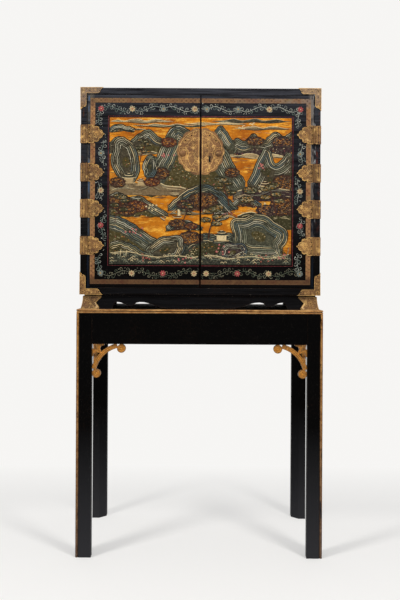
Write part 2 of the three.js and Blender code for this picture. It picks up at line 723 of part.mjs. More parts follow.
// Half of the round plate; side is -1 for the left half and 1 for the right
function lockPlateGeometry(side) {
  const edge = MEETING_X + DOOR_CHAMFER;
  const steps = PLATE_LOBES * LOBE_STEPS;
  const edgeAngle = Math.acos(edge / LOCK_PLATE_R);
  const points = [];
  for (let step = 0; step <= steps; step += 1) {
    const turn = step / steps;
    const angle = edgeAngle * (2 * turn - 1);
    const lobe = Math.abs(Math.sin(HALF_TURN * PLATE_LOBES * turn));
    const radius = LOCK_PLATE_R - LOCK_PLATE_LOBE * (1 - lobe);
    const x = Math.max(edge, radius * Math.cos(angle));
    points.push([side * x, LOCK_PLATE_Z + radius * Math.sin(angle)]);
  }
  const plate = frontPlate(outline(points), BRASS_T, CASE_FRONT_Y - GLUE_GAP);
  const boss = new THREE.SphereGeometry(BOSS_R, ROUND_SIDES, ROUND_SIDES / 2);
  boss.scale(1, BOSS_H / BOSS_R, 1);
  boss.translate(side * BOSS_REACH, CASE_FRONT_Y - GLUE_GAP - BRASS_T, LOCK_PLATE_Z - BOSS_DROP);
  const behind = block(
    [-LOCK_PLATE_R, CASE_FRONT_Y - GLUE_GAP, LOCK_PLATE_Z - LOCK_PLATE_R],
    [LOCK_PLATE_R, 0, LOCK_PLATE_Z + LOCK_PLATE_R],
  );
  return cut(join([plate, boss]), [behind, keyholeTool]);
}

// Lock behind the right door: a case with a slot for the bolt, open at the meeting edge
const LOCK_LOW_X = MEETING_X + FIT;
const LOCK_FRONT_Y = DOOR_BACK_Y + GLUE_GAP;
const LOCK_BOLT_Z = KEYHOLE_Z + LOCK_BOLT_RISE;
const LOCK_BOLT_T = LOCK_CASE_D - 2 * (LOCK_CASE_WALL + FIT);

function lockCaseGeometry() {
  const lowZ = KEYHOLE_Z - LOCK_CASE_DROP;
  const body = block(
    [LOCK_LOW_X, LOCK_FRONT_Y, lowZ],
    [LOCK_LOW_X + LOCK_CASE_W, LOCK_FRONT_Y + LOCK_CASE_D, lowZ + LOCK_CASE_H],
  );
  const slot = block(
    [LOCK_LOW_X - OVERRUN, LOCK_FRONT_Y + LOCK_CASE_WALL, LOCK_BOLT_Z - LOCK_BOLT_H / 2 - FIT],
    [LOCK_LOW_X + LOCK_BOLT_L + 2 * FIT, LOCK_FRONT_Y + LOCK_CASE_D - LOCK_CASE_WALL,
      LOCK_BOLT_Z + LOCK_BOLT_H / 2 + FIT],
  );
  return cut(body, [slot, keyholeTool]);
}

function lockBoltGeometry() {
  const lowX = LOCK_LOW_X + FIT;
  const frontY = LOCK_FRONT_Y + LOCK_CASE_WALL + FIT;
  return block(
    [lowX, frontY, LOCK_BOLT_Z - LOCK_BOLT_H / 2],
    [lowX + LOCK_BOLT_L, frontY + LOCK_BOLT_T, LOCK_BOLT_Z + LOCK_BOLT_H / 2],
  );
}

// Upright bolt behind the left door; it slides up behind the top door stop
const ROD_X = -MEETING_X - ROD_EDGE_X;
const ROD_Y = DOOR_BACK_Y + ROD_STANDOFF + ROD_R;
const ROD_TOP_Z = OPENING_HIGH_Z - STOP_H - ROD_HEADROOM;
const GUIDE_TOP_Z = ROD_TOP_Z - ROD_TIP_L;
const GUIDE_LOW_Z = GUIDE_TOP_Z - GUIDE_H;

function rodGeometry() {
  const lowZ = GUIDE_LOW_Z - ROD_THROW - ROD_HEADROOM - ROD_KNOB_H;
  const points = [
    [0, lowZ], [ROD_KNOB_R, lowZ], [ROD_KNOB_R, lowZ + ROD_KNOB_H], [ROD_R, lowZ + ROD_KNOB_H],
    [ROD_R, ROD_TOP_Z], [0, ROD_TOP_Z],
  ];
  const rod = new THREE.LatheGeometry(points.map(([r, z]) => new THREE.Vector2(r, z)), ROUND_SIDES);
  rod.rotateX(QUARTER_TURN);
  return join([rod]);
}

function guideGeometry() {
  const frontY = DOOR_BACK_Y + GLUE_GAP - ROD_Y;
  const plateBackY = frontY + GUIDE_PLATE_T;
  const eyeBackY = ROD_R + FIT + GUIDE_EYE_WALL;
  const plate = block([-GUIDE_W / 2, frontY, GUIDE_LOW_Z], [GUIDE_W / 2, plateBackY, GUIDE_TOP_Z]);
  const eyes = [GUIDE_LOW_Z, GUIDE_TOP_Z - GUIDE_EYE_H].map((z) => block(
    [-GUIDE_EYE_W / 2, frontY, z],
    [GUIDE_EYE_W / 2, eyeBackY, z + GUIDE_EYE_H],
  ));
  const bore = upright(ROD_R + FIT, GUIDE_LOW_Z - OVERRUN, GUIDE_TOP_Z + OVERRUN);
  return cut(join([plate, ...eyes]), [bore]);
}

function makeDoors() {
  const doors = new THREE.Group();
  const outerX = OPENING_HALF_W - DOOR_GAP;
  place(doors, 'door_left', doorSlab(MEETING_X, outerX), doorLacquer);
  const rightSlab = doorSlab(-outerX, -MEETING_X);
  place(doors, 'door_right', cut(rightSlab, [keyholeTool]), doorLacquer);
  place(doors, 'lock_plate_left', lockPlateGeometry(-1), brass);
  place(doors, 'lock_plate_right', lockPlateGeometry(1), brass);
  place(doors, 'lock_case', lockCaseGeometry(), iron);
  place(doors, 'lock_bolt', lockBoltGeometry(), iron);
  place(doors, 'left_door_bolt', rodGeometry(), iron, [ROD_X, ROD_Y, 0]);
  place(doors, 'left_door_bolt_guide', guideGeometry(), iron, [ROD_X, ROD_Y, 0]);

  const doorLeaf = doorLeafGeometry();
  const frameLeaf = frameLeafGeometry();
  HINGE_SHARES.forEach((share, index) => {
    const z = DOOR_MID_Z + share * DOOR_H;
    [-1, 1].forEach((side) => {
      const word = side < 0 ? 'left' : 'right';
      const turn = side < 0 ? 0 : HALF_TURN;
      const spot = [side * HINGE_X, HINGE_Y, z];
      place(doors, `hinge_${word}_${index + 1}_door_leaf`, doorLeaf, brass, spot, [0, turn, 0]);
      place(doors, `hinge_${word}_${index + 1}_frame_leaf`, frameLeaf, brass, spot, [0, turn, 0]);
    });
  });
  return doors;
}

const cabinetOnStand = new THREE.Group();
cabinetOnStand.add(makeStand(), makeBase(), makeCase(), makeMounts(), makeDoors());

export default cabinetOnStand;
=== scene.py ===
# %% [markdown]
# # A lacquer cabinet on its stand
#
# The real object is a black lacquer cabinet with two picture doors and brass mounts. It rests on a
# tall open stand with gilt beads and brackets. The boards, legs, hinges and plates come from the
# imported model. This script gives them their finishes and adds what a lacquerer, a carver and an
# engraver added: raised pictures, borders, scrolls, nails and engraving.

# %% Load the frame
import json
import math
import random

import bpy
from mathutils import Matrix, Vector, geometry as plane, noise


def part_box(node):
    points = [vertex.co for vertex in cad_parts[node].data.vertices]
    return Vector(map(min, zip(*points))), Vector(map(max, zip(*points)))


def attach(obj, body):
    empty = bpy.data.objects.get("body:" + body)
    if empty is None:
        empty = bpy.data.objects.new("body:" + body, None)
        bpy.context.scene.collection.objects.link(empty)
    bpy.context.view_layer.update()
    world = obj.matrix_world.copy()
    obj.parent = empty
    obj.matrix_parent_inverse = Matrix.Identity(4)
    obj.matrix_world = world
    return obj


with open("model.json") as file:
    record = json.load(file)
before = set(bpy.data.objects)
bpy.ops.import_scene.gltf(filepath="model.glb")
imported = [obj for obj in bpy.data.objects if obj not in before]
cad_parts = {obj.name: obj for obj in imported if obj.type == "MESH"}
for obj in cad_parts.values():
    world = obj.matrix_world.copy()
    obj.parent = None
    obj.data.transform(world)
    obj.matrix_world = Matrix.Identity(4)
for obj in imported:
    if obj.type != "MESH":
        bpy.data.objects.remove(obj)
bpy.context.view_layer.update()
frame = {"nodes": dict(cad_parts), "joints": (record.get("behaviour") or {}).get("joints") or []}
nodes = frame["nodes"]
MM = 0.001
SIDES = ((-1, "left"), (1, "right"))
ENDS = ((-1, "front"), (1, "back"))

# %% [markdown]
# ## The places that the pieces share
#
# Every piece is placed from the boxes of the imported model, so nothing is fitted by eye. The doors
# fill the front of the case, and what lies on them is measured in from their edges.

# %% Places taken from the model
door_left_low, door_left_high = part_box("door_left")
door_right_low, door_right_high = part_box("door_right")
case_top_low, case_top_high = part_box("case_top")
case_bottom_low, case_bottom_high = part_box("case_bottom")
case_back_low, case_back_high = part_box("case_back")
case_side_low, case_side_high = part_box("case_side_right")
stand_top_low, stand_top_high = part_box("stand_top")
stand_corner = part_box("leg_front_left")[0]
DOOR_FACE_Y = door_left_low.y
DOOR_BACK_Y = door_left_high.y
DOOR_OUTER_X = door_right_high.x
DOOR_LOW_Z = door_left_low.z
DOOR_HIGH_Z = door_left_high.z
MEETING_X = door_right_low.x
STAND_OUTER_X = -stand_corner.x
STAND_OUTER_Y = -stand_corner.y
print("door face at y", round(DOOR_FACE_Y, 4), "outer edge at x", round(DOOR_OUTER_X, 4))

# %% [markdown]
# ## Camera
#
# The photograph looks straight at the doors from about three metres, a little above the stand's
# top, with the verticals kept upright by a shifted lens. A faint roll matches its slight lean.

# %% Camera
CAMERA_PLACE = (0.0, -3.13, 1.046)
CAMERA_LENS = 47.28
CAMERA_SHIFT_Y = -0.0483
CAMERA_ROLL = math.radians(-0.3)

bpy.ops.object.select_all(action="DESELECT")
bpy.ops.object.camera_add(location=CAMERA_PLACE, rotation=(math.pi / 2, CAMERA_ROLL, 0.0))
camera = bpy.context.object
camera.name = "camera"
camera.data.lens = CAMERA_LENS
camera.data.sensor_width = 36.0
camera.data.shift_y = CAMERA_SHIFT_Y
bpy.context.scene.camera = camera
print("camera", CAMERA_PLACE, "lens", CAMERA_LENS)

# %% [markdown]
# ## Helpers for shader trees
#
# A material is a tree of nodes. `put` adds one node and wires or sets its inputs, and the small
# functions after it name the steps that recur: arithmetic, a soft threshold, noise, a colour mix.
# A socket knows the tree that it belongs to, so these functions only need the values they work on.
# An effect that several finishes share becomes a node group with named sockets.

# %% Shader helpers
def plug(value, socket):
    """Links the value to the socket, or sets it there if it is a plain number or colour."""
    if isinstance(value, bpy.types.NodeSocket):
        socket.id_data.links.new(value, socket)
    else:
        socket.default_value = value


def put(tree, kind, ins=None, **settings):
    made = tree.nodes.new("ShaderNode" + kind)
    for setting, value in settings.items():
        setattr(made, setting, value)
    for name, value in (ins or {}).items():
        plug(value, made.inputs[name])
    return made


def tree_of(*values):
    return next(value.id_data for value in values if isinstance(value, bpy.types.NodeSocket))


def reckon(operation, a, b=0.0, c=0.5):
    return put(tree_of(a, b), "Math", {0: a, 1: b, 2: c}, operation=operation).outputs[0]


def times(first, *others):
    for other in others:
        first = reckon("MULTIPLY", first, other)
    return first


def plus(a, b):
    return reckon("ADD", a, b)


def minus(a, b):
    return reckon("SUBTRACT", a, b)


def larger(a, b):
    return reckon("MAXIMUM", a, b)


def below(value, limit):
    return reckon("LESS_THAN", value, limit)


def above(value, limit):
    return reckon("GREATER_THAN", value, limit)


def size_of(value):
    return reckon("ABSOLUTE", value)


def threshold(value, low, high):
    """0 at low and 1 at high, with a straight ramp between; high may be the smaller one."""
    ins = {"Value": value, "From Min": low, "From Max": high}
    return put(value.id_data, "MapRange", ins).outputs[0]


def mottle(where, scale, detail=3.0, roughness=0.55):
    ins = {"Vector": where, "Scale": scale, "Detail": detail, "Roughness": roughness}
    return put(where.id_data, "TexNoise", ins).outputs[0]


def patches(where, scale, low, high, detail=3.0, roughness=0.55):
    """Noise cut at a threshold, so that it makes patches."""
    return threshold(mottle(where, scale, detail, roughness), low, high)


def cells(where, scale, feature="F1"):
    made = put(where.id_data, "TexVoronoi", {"Vector": where, "Scale": scale}, feature=feature)
    return made.outputs["Distance"]


def tint(share, under, over, most=None):
    """One colour laid over another where the share is high, if asked at most so far."""
    if most is not None:
        share = times(share, most)
    ins = {0: share, 6: under, 7: over}
    return put(tree_of(share, under, over), "Mix", ins, data_type="RGBA").outputs[2]


def object_place(tree, scale=(1.0, 1.0, 1.0)):
    where = put(tree, "TexCoord").outputs["Object"]
    return put(tree, "Mapping", {"Vector": where, "Scale": scale}).outputs[0]


def axes(vector):
    return put(vector.id_data, "SeparateXYZ", {0: vector}).outputs


def ink(red, green, blue):
    """A colour given as 0 to 255 in sRGB, as the linear colour that Blender works in."""
    linear = []
    for level in (red, green, blue):
        share = level / 255.0
        linear.append(share / 12.92 if share <= 0.04045 else ((share + 0.055) / 1.055) ** 2.4)
    return (*linear, 1.0)


def start_group(name, inputs, outputs):
    tree = bpy.data.node_groups.new(name, "ShaderNodeTree")
    for label, kind, value in inputs:
        socket = tree.interface.new_socket(name=label, in_out="INPUT", socket_type=kind)
        socket.default_value = value
    for label, kind in outputs:
        tree.interface.new_socket(name=label, in_out="OUTPUT", socket_type=kind)
    return tree, tree.nodes.new("NodeGroupInput").outputs, tree.nodes.new("NodeGroupOutput").inputs


def effect(tree, group, **ins):
    made = tree.nodes.new("ShaderNodeGroup")
    made.node_tree = group
    for name, value in ins.items():
        plug(value, made.inputs[name])
    return made.outputs


def start_material(name):
    material = bpy.data.materials.new(name)
    material.use_nodes = True
    tree = material.node_tree
    return material, tree, tree.nodes["Principled BSDF"]


def reopen(material):
    """What a finish needs to be painted over: its tree, shader, colour so far and place x, y, z."""
    tree = material.node_tree
    shader = tree.nodes["Principled BSDF"]
    colour = shader.inputs["Base Color"].links[0].from_socket
    return tree, shader, colour, axes(object_place(tree))


def roughen(shader, height, strength, distance):
    bump = put(height.id_data, "Bump", {"Height": height, "Strength": strength, "Distance": distance})
    plug(bump.outputs[0], shader.inputs["Normal"])


FLOAT = "NodeSocketFloat"
COLOUR = "NodeSocketColor"

# %% [markdown]
# ## Shared effects
#
# Old lacquer shows four things wherever it is: rubbed edges, a fine crackle, dust on what faces up,
# and slow changes of tone. Each is a group that puts out a mask, and each finish decides what the
# mask uncovers. The edge mask compares the true normal with the one a Bevel node rounds off.

# %% Edge wear, age and dust
edge_wear, ins, outs = start_group(
    "edge_wear",
    [("Reach", FLOAT, 0.003), ("Scale", FLOAT, 120.0), ("Amount", FLOAT, 0.5)],
    [("Mask", FLOAT)],
)
rounded = put(edge_wear, "Bevel", {"Radius": ins["Reach"]}, samples=6).outputs[0]
normal = put(edge_wear, "NewGeometry").outputs["Normal"]
agree = put(edge_wear, "VectorMath", {0: rounded, 1: normal}, operation="DOT_PRODUCT")
bend = threshold(agree.outputs["Value"], 0.99, 0.72)
grit = mottle(object_place(edge_wear), ins["Scale"], 5.0, 0.65)
worn = plus(bend, minus(grit, 1.0))
plug(threshold(plus(worn, ins["Amount"]), 0.22, 0.42), outs["Mask"])

aged, ins, outs = start_group(
    "aged_surface",
    [("Scale", FLOAT, 1.0)],
    [("Cloud", FLOAT), ("Crackle", FLOAT), ("Speck", FLOAT), ("Grain", FLOAT)],
)
here = object_place(aged)
sized = put(aged, "VectorMath", {0: here, "Scale": ins["Scale"]}, operation="SCALE").outputs[0]
stretched = put(aged, "Mapping", {"Vector": sized, "Scale": (9.0, 9.0, 1.0)}).outputs[0]
crack = threshold(cells(sized, 60.0, "DISTANCE_TO_EDGE"), 0.035, 0.0)
plug(mottle(sized, 5.0, 4.0), outs["Cloud"])
plug(times(crack, patches(sized, 7.0, 0.5, 0.72)), outs["Crackle"])
plug(patches(sized, 260.0, 0.62, 0.75, 4.0, 0.7), outs["Speck"])
plug(mottle(stretched, 22.0, 4.0, 0.6), outs["Grain"])

dusted, ins, outs = start_group("dust", [("Amount", FLOAT, 0.5)], [("Mask", FLOAT)])
facing_up = axes(put(dusted, "NewGeometry").outputs["Normal"])[2]
drift = patches(object_place(dusted), 18.0, 0.3, 0.75, 4.0)
plug(times(threshold(facing_up, 0.35, 1.0), drift, ins["Amount"]), outs["Mask"])
print("effects:", edge_wear.name, aged.name, dusted.name)

# %% [markdown]
# ## Black lacquer
#
# Real black lacquer is many thin coats over red-brown ground. It is almost black, with a soft
# gloss; edges rub through to the ground and in a few spots to pale gesso. The stand has the same
# lacquer with gilt beads on its arrises, so its finish reads the place of the bead.

# %% Lacquer finishes
BLACK = ink(4, 4, 5)
BLACK_WARM = ink(10, 8, 7)
BLUE_GREY = ink(74, 76, 84)
DEEP_BLUE = ink(34, 46, 62)
GROUND_BROWN = ink(46, 30, 22)
GESSO = ink(176, 160, 136)
DUST_GREY = ink(120, 112, 104)
GILT_BROWN = ink(142, 94, 50)
GILT_PALE = ink(192, 146, 88)
GILT_DARK = ink(58, 34, 20)
RED_LACQUER = ink(104, 28, 20)
RED_DARK = ink(62, 16, 13)
SHELF_GILT = ink(150, 104, 52)
SHELF_GILT_DEPTH = 0.0016
GLOSS = 0.34


def lacquer_colour(surface, base, warm, wear):
    colour = tint(surface["Cloud"], base, warm)
    colour = tint(surface["Speck"], colour, DUST_GREY, 0.14)
    colour = tint(surface["Crackle"], colour, GROUND_BROWN, 0.4)
    colour = tint(wear, colour, GROUND_BROWN)
    chips = times(threshold(surface["Grain"], 0.6, 0.68), wear)
    return tint(chips, colour, GESSO)


def lacquer_finish(name, base, warm, gloss, wear_amount, dust_amount):
    material, tree, shader = start_material(name)
    surface = effect(tree, aged, Scale=1.0)
    wear = effect(tree, edge_wear, Reach=0.0035, Scale=70.0, Amount=wear_amount)["Mask"]
    dust = effect(tree, dusted, Amount=dust_amount)["Mask"]
    colour = tint(dust, lacquer_colour(surface, base, warm, wear), DUST_GREY)
    plug(colour, shader.inputs["Base Color"])
    dull = times(plus(wear, dust), 0.4)
    rough = plus(times(surface["Cloud"], 0.16), gloss)
    plug(plus(rough, dull), shader.inputs["Roughness"])
    shader.inputs["Specular IOR Level"].default_value = 0.02
    roughen(shader, minus(surface["Grain"], surface["Crackle"]), 0.12, 0.0006)
    return material


black_lacquer = lacquer_finish("black_lacquer", BLACK, BLACK_WARM, GLOSS, 0.32, 0.35)
red_lacquer = lacquer_finish("red_lacquer", RED_LACQUER, RED_DARK, GLOSS, 0.2, 0.15)
shelf_lacquer = lacquer_finish("shelf_lacquer", RED_LACQUER, RED_DARK, GLOSS, 0.2, 0.2)
tree, shader, plain, spot = reopen(shelf_lacquer)
front_edge = below(spot[1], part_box("shelf_lower")[0].y + SHELF_GILT_DEPTH)
plug(tint(front_edge, plain, SHELF_GILT), shader.inputs["Base Color"])
print("lacquers:", black_lacquer.name, red_lacquer.name, shelf_lacquer.name)

# %% [markdown]
# The black boards turn greyer towards the top, and less so inside the doors' border. A blue painted
# sheen lies along the doors' outer edges, and long streaks run down them: the grey ones are painted
# sheen, a thin blue line on the left door and white glints on the right are painted highlights, and
# brown patches on the case's edges are worn through to the ground, the left one partly a painted edge
# highlight. The room behind the doors is red, on the same boards, so the finish asks whether a point
# lies inside the case.

# %% Greying, painted sheen, streaks and the red room
BORDER_INSET = 0.028
GREYING_START = 0.1
GREYING_SHARE = 0.74
BORDER_GREYS_LESS = -0.3
LOW_BOARDS_GREYING = 0.12
SHEEN_INSETS = (0.013, 0.004)
SHEEN_SHARE = 0.3
HAIR = 0.0003
STREAK_SOFT = 0.09
STREAK_Z = (1.1, 1.45)
# Middle x, half width, where in the noise it starts, share and colour of each streak. The first two are
# painted sheen, the next a painted highlight, then painted glints, then brown wear, and last brown wear
# that is partly a painted edge highlight.
SHEEN_AND_WEAR_STREAKS = (
    (-DOOR_OUTER_X + 0.0125, 0.0160, 0.38, 0.42, ink(112, 104, 90)),
    (DOOR_OUTER_X - 0.0100, 0.0120, 0.42, 0.6, ink(126, 118, 110)),
    (-DOOR_OUTER_X + 0.0066, 0.0036, 0.44, 0.75, ink(62, 92, 124)),
    (DOOR_OUTER_X + 0.0012, 0.0052, 0.52, 0.85, ink(196, 196, 196)),
    (DOOR_OUTER_X + 0.0150, 0.0110, 0.52, 0.6, ink(92, 44, 30)),
    (-DOOR_OUTER_X - 0.0180, 0.0080, 0.55, 0.6, ink(84, 52, 34)),
)
tree, shader, plain, spot = reopen(black_lacquer)
here = object_place(tree)
from_middle = size_of(spot[0])
# The boards are greyer towards the top and a little below the doors, less so inside the border.
upward = threshold(spot[2], case_bottom_high.z + GREYING_START, case_top_high.z)
upward = larger(upward, times(below(spot[2], DOOR_LOW_Z), LOW_BOARDS_GREYING))
in_border = times(
    below(from_middle, DOOR_OUTER_X - BORDER_INSET),
    below(spot[2], DOOR_HIGH_Z - BORDER_INSET),
    BORDER_GREYS_LESS,
)
grained = patches(object_place(tree, (7.0, 7.0, 160.0)), 1.0, 0.3, 0.75, 5.0, 0.6)
colour = tint(times(grained, upward, plus(in_border, 1.0)), plain, BLUE_GREY, GREYING_SHARE)
near_edge = threshold(from_middle, *(DOOR_OUTER_X - inset for inset in SHEEN_INSETS))
sheen = times(near_edge, patches(here, 9.0, 0.34, 0.6))
on_door = below(from_middle, DOOR_OUTER_X + HAIR)
colour = tint(times(sheen, on_door), colour, DEEP_BLUE, SHEEN_SHARE)
# Streaks down the outer edges: painted sheen, painted highlights and glints, and brown wear.
streak_noise = mottle(object_place(tree, (60.0, 60.0, 22.0)), 1.0, 4.0, 0.6)
in_front = below(spot[1], DOOR_BACK_Y)
for middle, reach, start, share, over in SHEEN_AND_WEAR_STREAKS:
    streak = threshold(size_of(minus(spot[0], middle)), reach, reach * 0.4)
    streak = times(streak, in_front, threshold(streak_noise, start, start + STREAK_SOFT))
    colour = tint(times(streak, threshold(spot[2], *STREAK_Z)), colour, over, share)
room = times(
    below(from_middle, case_side_low.x + HAIR),
    times(above(spot[1], DOOR_BACK_Y - HAIR), below(spot[1], case_back_low.y + HAIR)),
    times(above(spot[2], case_bottom_high.z - HAIR), below(spot[2], case_top_low.z + HAIR)),
)
red = tint(patches(here, 6.0, 0.35, 0.7, 4.0), RED_LACQUER, RED_DARK)
plug(tint(room, colour, red), shader.inputs["Base Color"])
print("streaks:", len(SHEEN_AND_WEAR_STREAKS))

# %% Gilding
gilding, ins, outs = start_group(
    "rubbed_gilding",
    [("Leaf", COLOUR, GILT_BROWN), ("Bright", COLOUR, GILT_PALE), ("Under", COLOUR, GILT_DARK)],
    [("Colour", COLOUR), ("Height", FLOAT)],
)
here = object_place(gilding)
leaf = patches(here, 45.0, 0.35, 0.7, 5.0, 0.65)
rubbed = patches(here, 130.0, 0.54, 0.68, 6.0, 0.7)
colour = tint(leaf, ins["Leaf"], ins["Bright"])
plug(tint(rubbed, colour, ins["Under"]), outs["Colour"])
plug(minus(leaf, rubbed), outs["Height"])


def gilt_finish(name, leaf_colour, bright_colour, under_colour, metal, rough, edge_shade=None,
                reach=0.002):
    """Gold leaf; an edge colour makes the edges darken more widely, down to that colour: painted shade.
    """
    material, tree, shader = start_material(name)
    gold = effect(tree, gilding, Leaf=leaf_colour, Bright=bright_colour, Under=under_colour)
    amount, most = (0.8, 0.7) if edge_shade else (0.3, 1.0)
    wear = effect(tree, edge_wear, Reach=reach, Scale=160.0, Amount=amount)["Mask"]
    colour = tint(wear, gold["Colour"], edge_shade or bright_colour, most)
    dust = effect(tree, dusted, Amount=0.5)["Mask"]
    plug(tint(dust, colour, DUST_GREY), shader.inputs["Base Color"])
    plug(reckon("MULTIPLY_ADD", gold["Height"], -0.1, rough), shader.inputs["Roughness"])
    shader.inputs["Metallic"].default_value = metal
    roughen(shader, gold["Height"], 0.25, 0.0008)
    return material


def outside(value, edge):
    """1 where the value lies farther from the middle than the edge, on either side."""
    return above(size_of(value), edge)


BRACKET_GOLD = ink(186, 118, 30)
BRACKET_BRIGHT = ink(214, 158, 66)
BRACKET_OLIVE = ink(88, 62, 24)
BRACKET_GROUND = ink(146, 96, 32)
# The brackets' rounded edges are painted dark olive: painted shade.
bracket_gilt = gilt_finish(
    "bracket_gilt", BRACKET_GROUND, BRACKET_GOLD, BRACKET_OLIVE, 0.3, 0.5, BRACKET_OLIVE, 0.004
)
carved_gilt = gilt_finish("carved_gilt", BRACKET_GOLD, BRACKET_BRIGHT, BRACKET_OLIVE, 0.35, 0.4)
print("gilt finishes:", bracket_gilt.name, carved_gilt.name)

# %% The stand's lacquer with gilt beads
STAND_BLACK = ink(2, 2, 2)
STAND_WARM = ink(6, 5, 5)
SHEEN_AND_SCUFF_GREY = ink(74, 74, 78)
LOW_LEAF = ink(84, 66, 54)
LOW_BRIGHT = ink(116, 92, 76)
BEAD_GROOVE_SHADE = ink(24, 15, 10)
BEAD_REACH = 0.0108
BEAD_SHADED = (0.0042, 0.0026)
BEAD_GROOVED = (0.0078, 0.0092)
SHEEN_AND_SCUFF_HEIGHT = 0.48
SHEEN_AND_SCUFF_SHARE = 0.42
DULL_LEAF_HEIGHT = 0.75
stand_lacquer = lacquer_finish("stand_lacquer", STAND_BLACK, STAND_WARM, 0.36, 0.26, 0.3)
tree, shader, plain, spot = reopen(stand_lacquer)
# The legs are painted greyer towards the floor: a painted reflection of the pale floor, and scuffs.
sheen_and_scuffs = times(threshold(spot[2], SHEEN_AND_SCUFF_HEIGHT, 0.0), SHEEN_AND_SCUFF_SHARE)
greyed = tint(sheen_and_scuffs, plain, SHEEN_AND_SCUFF_GREY)
on_bead = times(
    outside(spot[0], STAND_OUTER_X - BEAD_REACH), outside(spot[1], STAND_OUTER_Y - BEAD_REACH)
)
rim = size_of(spot[0])
outermost = threshold(rim, *(STAND_OUTER_X - inset for inset in BEAD_SHADED))
groove = threshold(rim, *(STAND_OUTER_X - inset for inset in BEAD_GROOVED))
low_down = threshold(spot[2], DULL_LEAF_HEIGHT, 0.0)
leaf = tint(low_down, GILT_BROWN, LOW_LEAF)
bright = tint(low_down, GILT_PALE, LOW_BRIGHT)
gold = effect(tree, gilding, Leaf=leaf, Bright=bright, Under=GILT_DARK)
kept = patches(object_place(tree, (60.0, 60.0, 9.0)), 1.0, 0.66, 0.56, 4.0, 0.6)
bead = times(on_bead, kept)
# The bead's outer side and the groove beside it are painted darker: painted shade on the round bead.
shaded = tint(outermost, gold["Colour"], GILT_DARK, 0.5)
shaded = tint(groove, shaded, BEAD_GROOVE_SHADE, 0.7)
plug(tint(bead, greyed, shaded), shader.inputs["Base Color"])
plug(times(bead, 0.35), shader.inputs["Metallic"])
print("stand:", stand_lacquer.name)

# %% [markdown]
# The stand's top has two gilt beads round its edge and a dark olive field inside them, which
# shows only as a thin line round the cabinet's base. A height mask would not part the two, so the
# field is everything far enough inside the edge.

# %% The stand's top
EDGE_BAND = 0.012
GROOVE_HALF_W = (0.0022, 0.0009)
TOP_FIELD = ink(9, 8, 6)
TOP_GROOVE_SHADE = ink(40, 24, 14)
TOP_HIGHLIGHT = ink(226, 184, 120)
top_gilt = gilt_finish("stand_top_gilt", GILT_BROWN, GILT_PALE, GILT_DARK, 0.3, 0.42)
tree, shader, colour, spot = reopen(top_gilt)
at_edge = larger(
    outside(spot[0], stand_top_high.x - EDGE_BAND), outside(spot[1], stand_top_high.y - EDGE_BAND)
)
from_groove = size_of(minus(spot[2], (stand_top_low.z + stand_top_high.z) / 2))
rubbed = patches(object_place(tree, (20.0, 20.0, 150.0)), 1.0, 0.48, 0.62, 5.0, 0.7)
bright = patches(object_place(tree, (15.0, 15.0, 170.0)), 1.0, 0.56, 0.66, 5.0, 0.7)
colour = tint(rubbed, colour, GILT_DARK, 0.5)
# Pale streaks on the beads are painted highlights.
colour = tint(bright, colour, TOP_HIGHLIGHT, 0.6)
# The groove between the two beads is painted dark: painted shade.
colour = tint(threshold(from_groove, *GROOVE_HALF_W), colour, TOP_GROOVE_SHADE, 0.8)
plug(tint(at_edge, TOP_FIELD, colour), shader.inputs["Base Color"])
plug(times(at_edge, 0.3), shader.inputs["Metallic"])
plug(threshold(at_edge, 3.0, -1.6), shader.inputs["Roughness"])
shader.inputs["Specular IOR Level"].default_value = 0.12
print("top:", top_gilt.name)

# %% [markdown]
# ## Brass
#
# The mounts are cast sheet brass, dulled to tan and brown. Their ground is punched and cut with
# flowing lines. Contours of a slow noise flow like that, so one group takes thin bands of its sine,
# adds a fine stipple, and hands over a line mask that both darkens and sinks the surface.

# %% Engraving
engraving, ins, outs = start_group(
    "engraving", [("Scale", FLOAT, 60.0), ("Turns", FLOAT, 60.0)], [("Line", FLOAT), ("Height", FLOAT)],
)
here = object_place(engraving)
flow = mottle(here, ins["Scale"], 1.0, 0.4)
wave = reckon("SINE", times(flow, ins["Turns"]))
cut_line = threshold(size_of(wave), 0.34, 0.12)
stipple = times(threshold(cells(here, 900.0), 0.34, 0.2), 0.55)
line = larger(cut_line, stipple)
plug(line, outs["Line"])
plug(minus(1.0, line), outs["Height"])
print("effect:", engraving.name)

# %% Brass and iron
BRASS = ink(101, 69, 35)
BRASS_PALE = ink(146, 107, 58)
BRASS_DARK = ink(46, 30, 18)
CHASED = ink(158, 115, 58)
CHASED_PALE = ink(222, 180, 108)
LOCK_TAN = ink(110, 74, 40)
LOCK_PALE = ink(160, 116, 68)
HIGHLIGHT_PALE = ink(244, 212, 160)
# Noise scale, its threshold from and to, detail, roughness and colour of each kind of blotch.
BLOTCHES = (
    (34.0, 0.5, 0.68, 4.0, 0.6, ink(98, 62, 36)),
    (16.0, 0.5, 0.64, 5.0, 0.65, ink(60, 38, 22)),
    (52.0, 0.54, 0.64, 5.0, 0.65, CHASED_PALE),
)
BLOTCH_SHARE = 0.6
DUST_DROP = (0.075, 0.045)
DARK_FOOT_RISE = (0.004, -0.006)


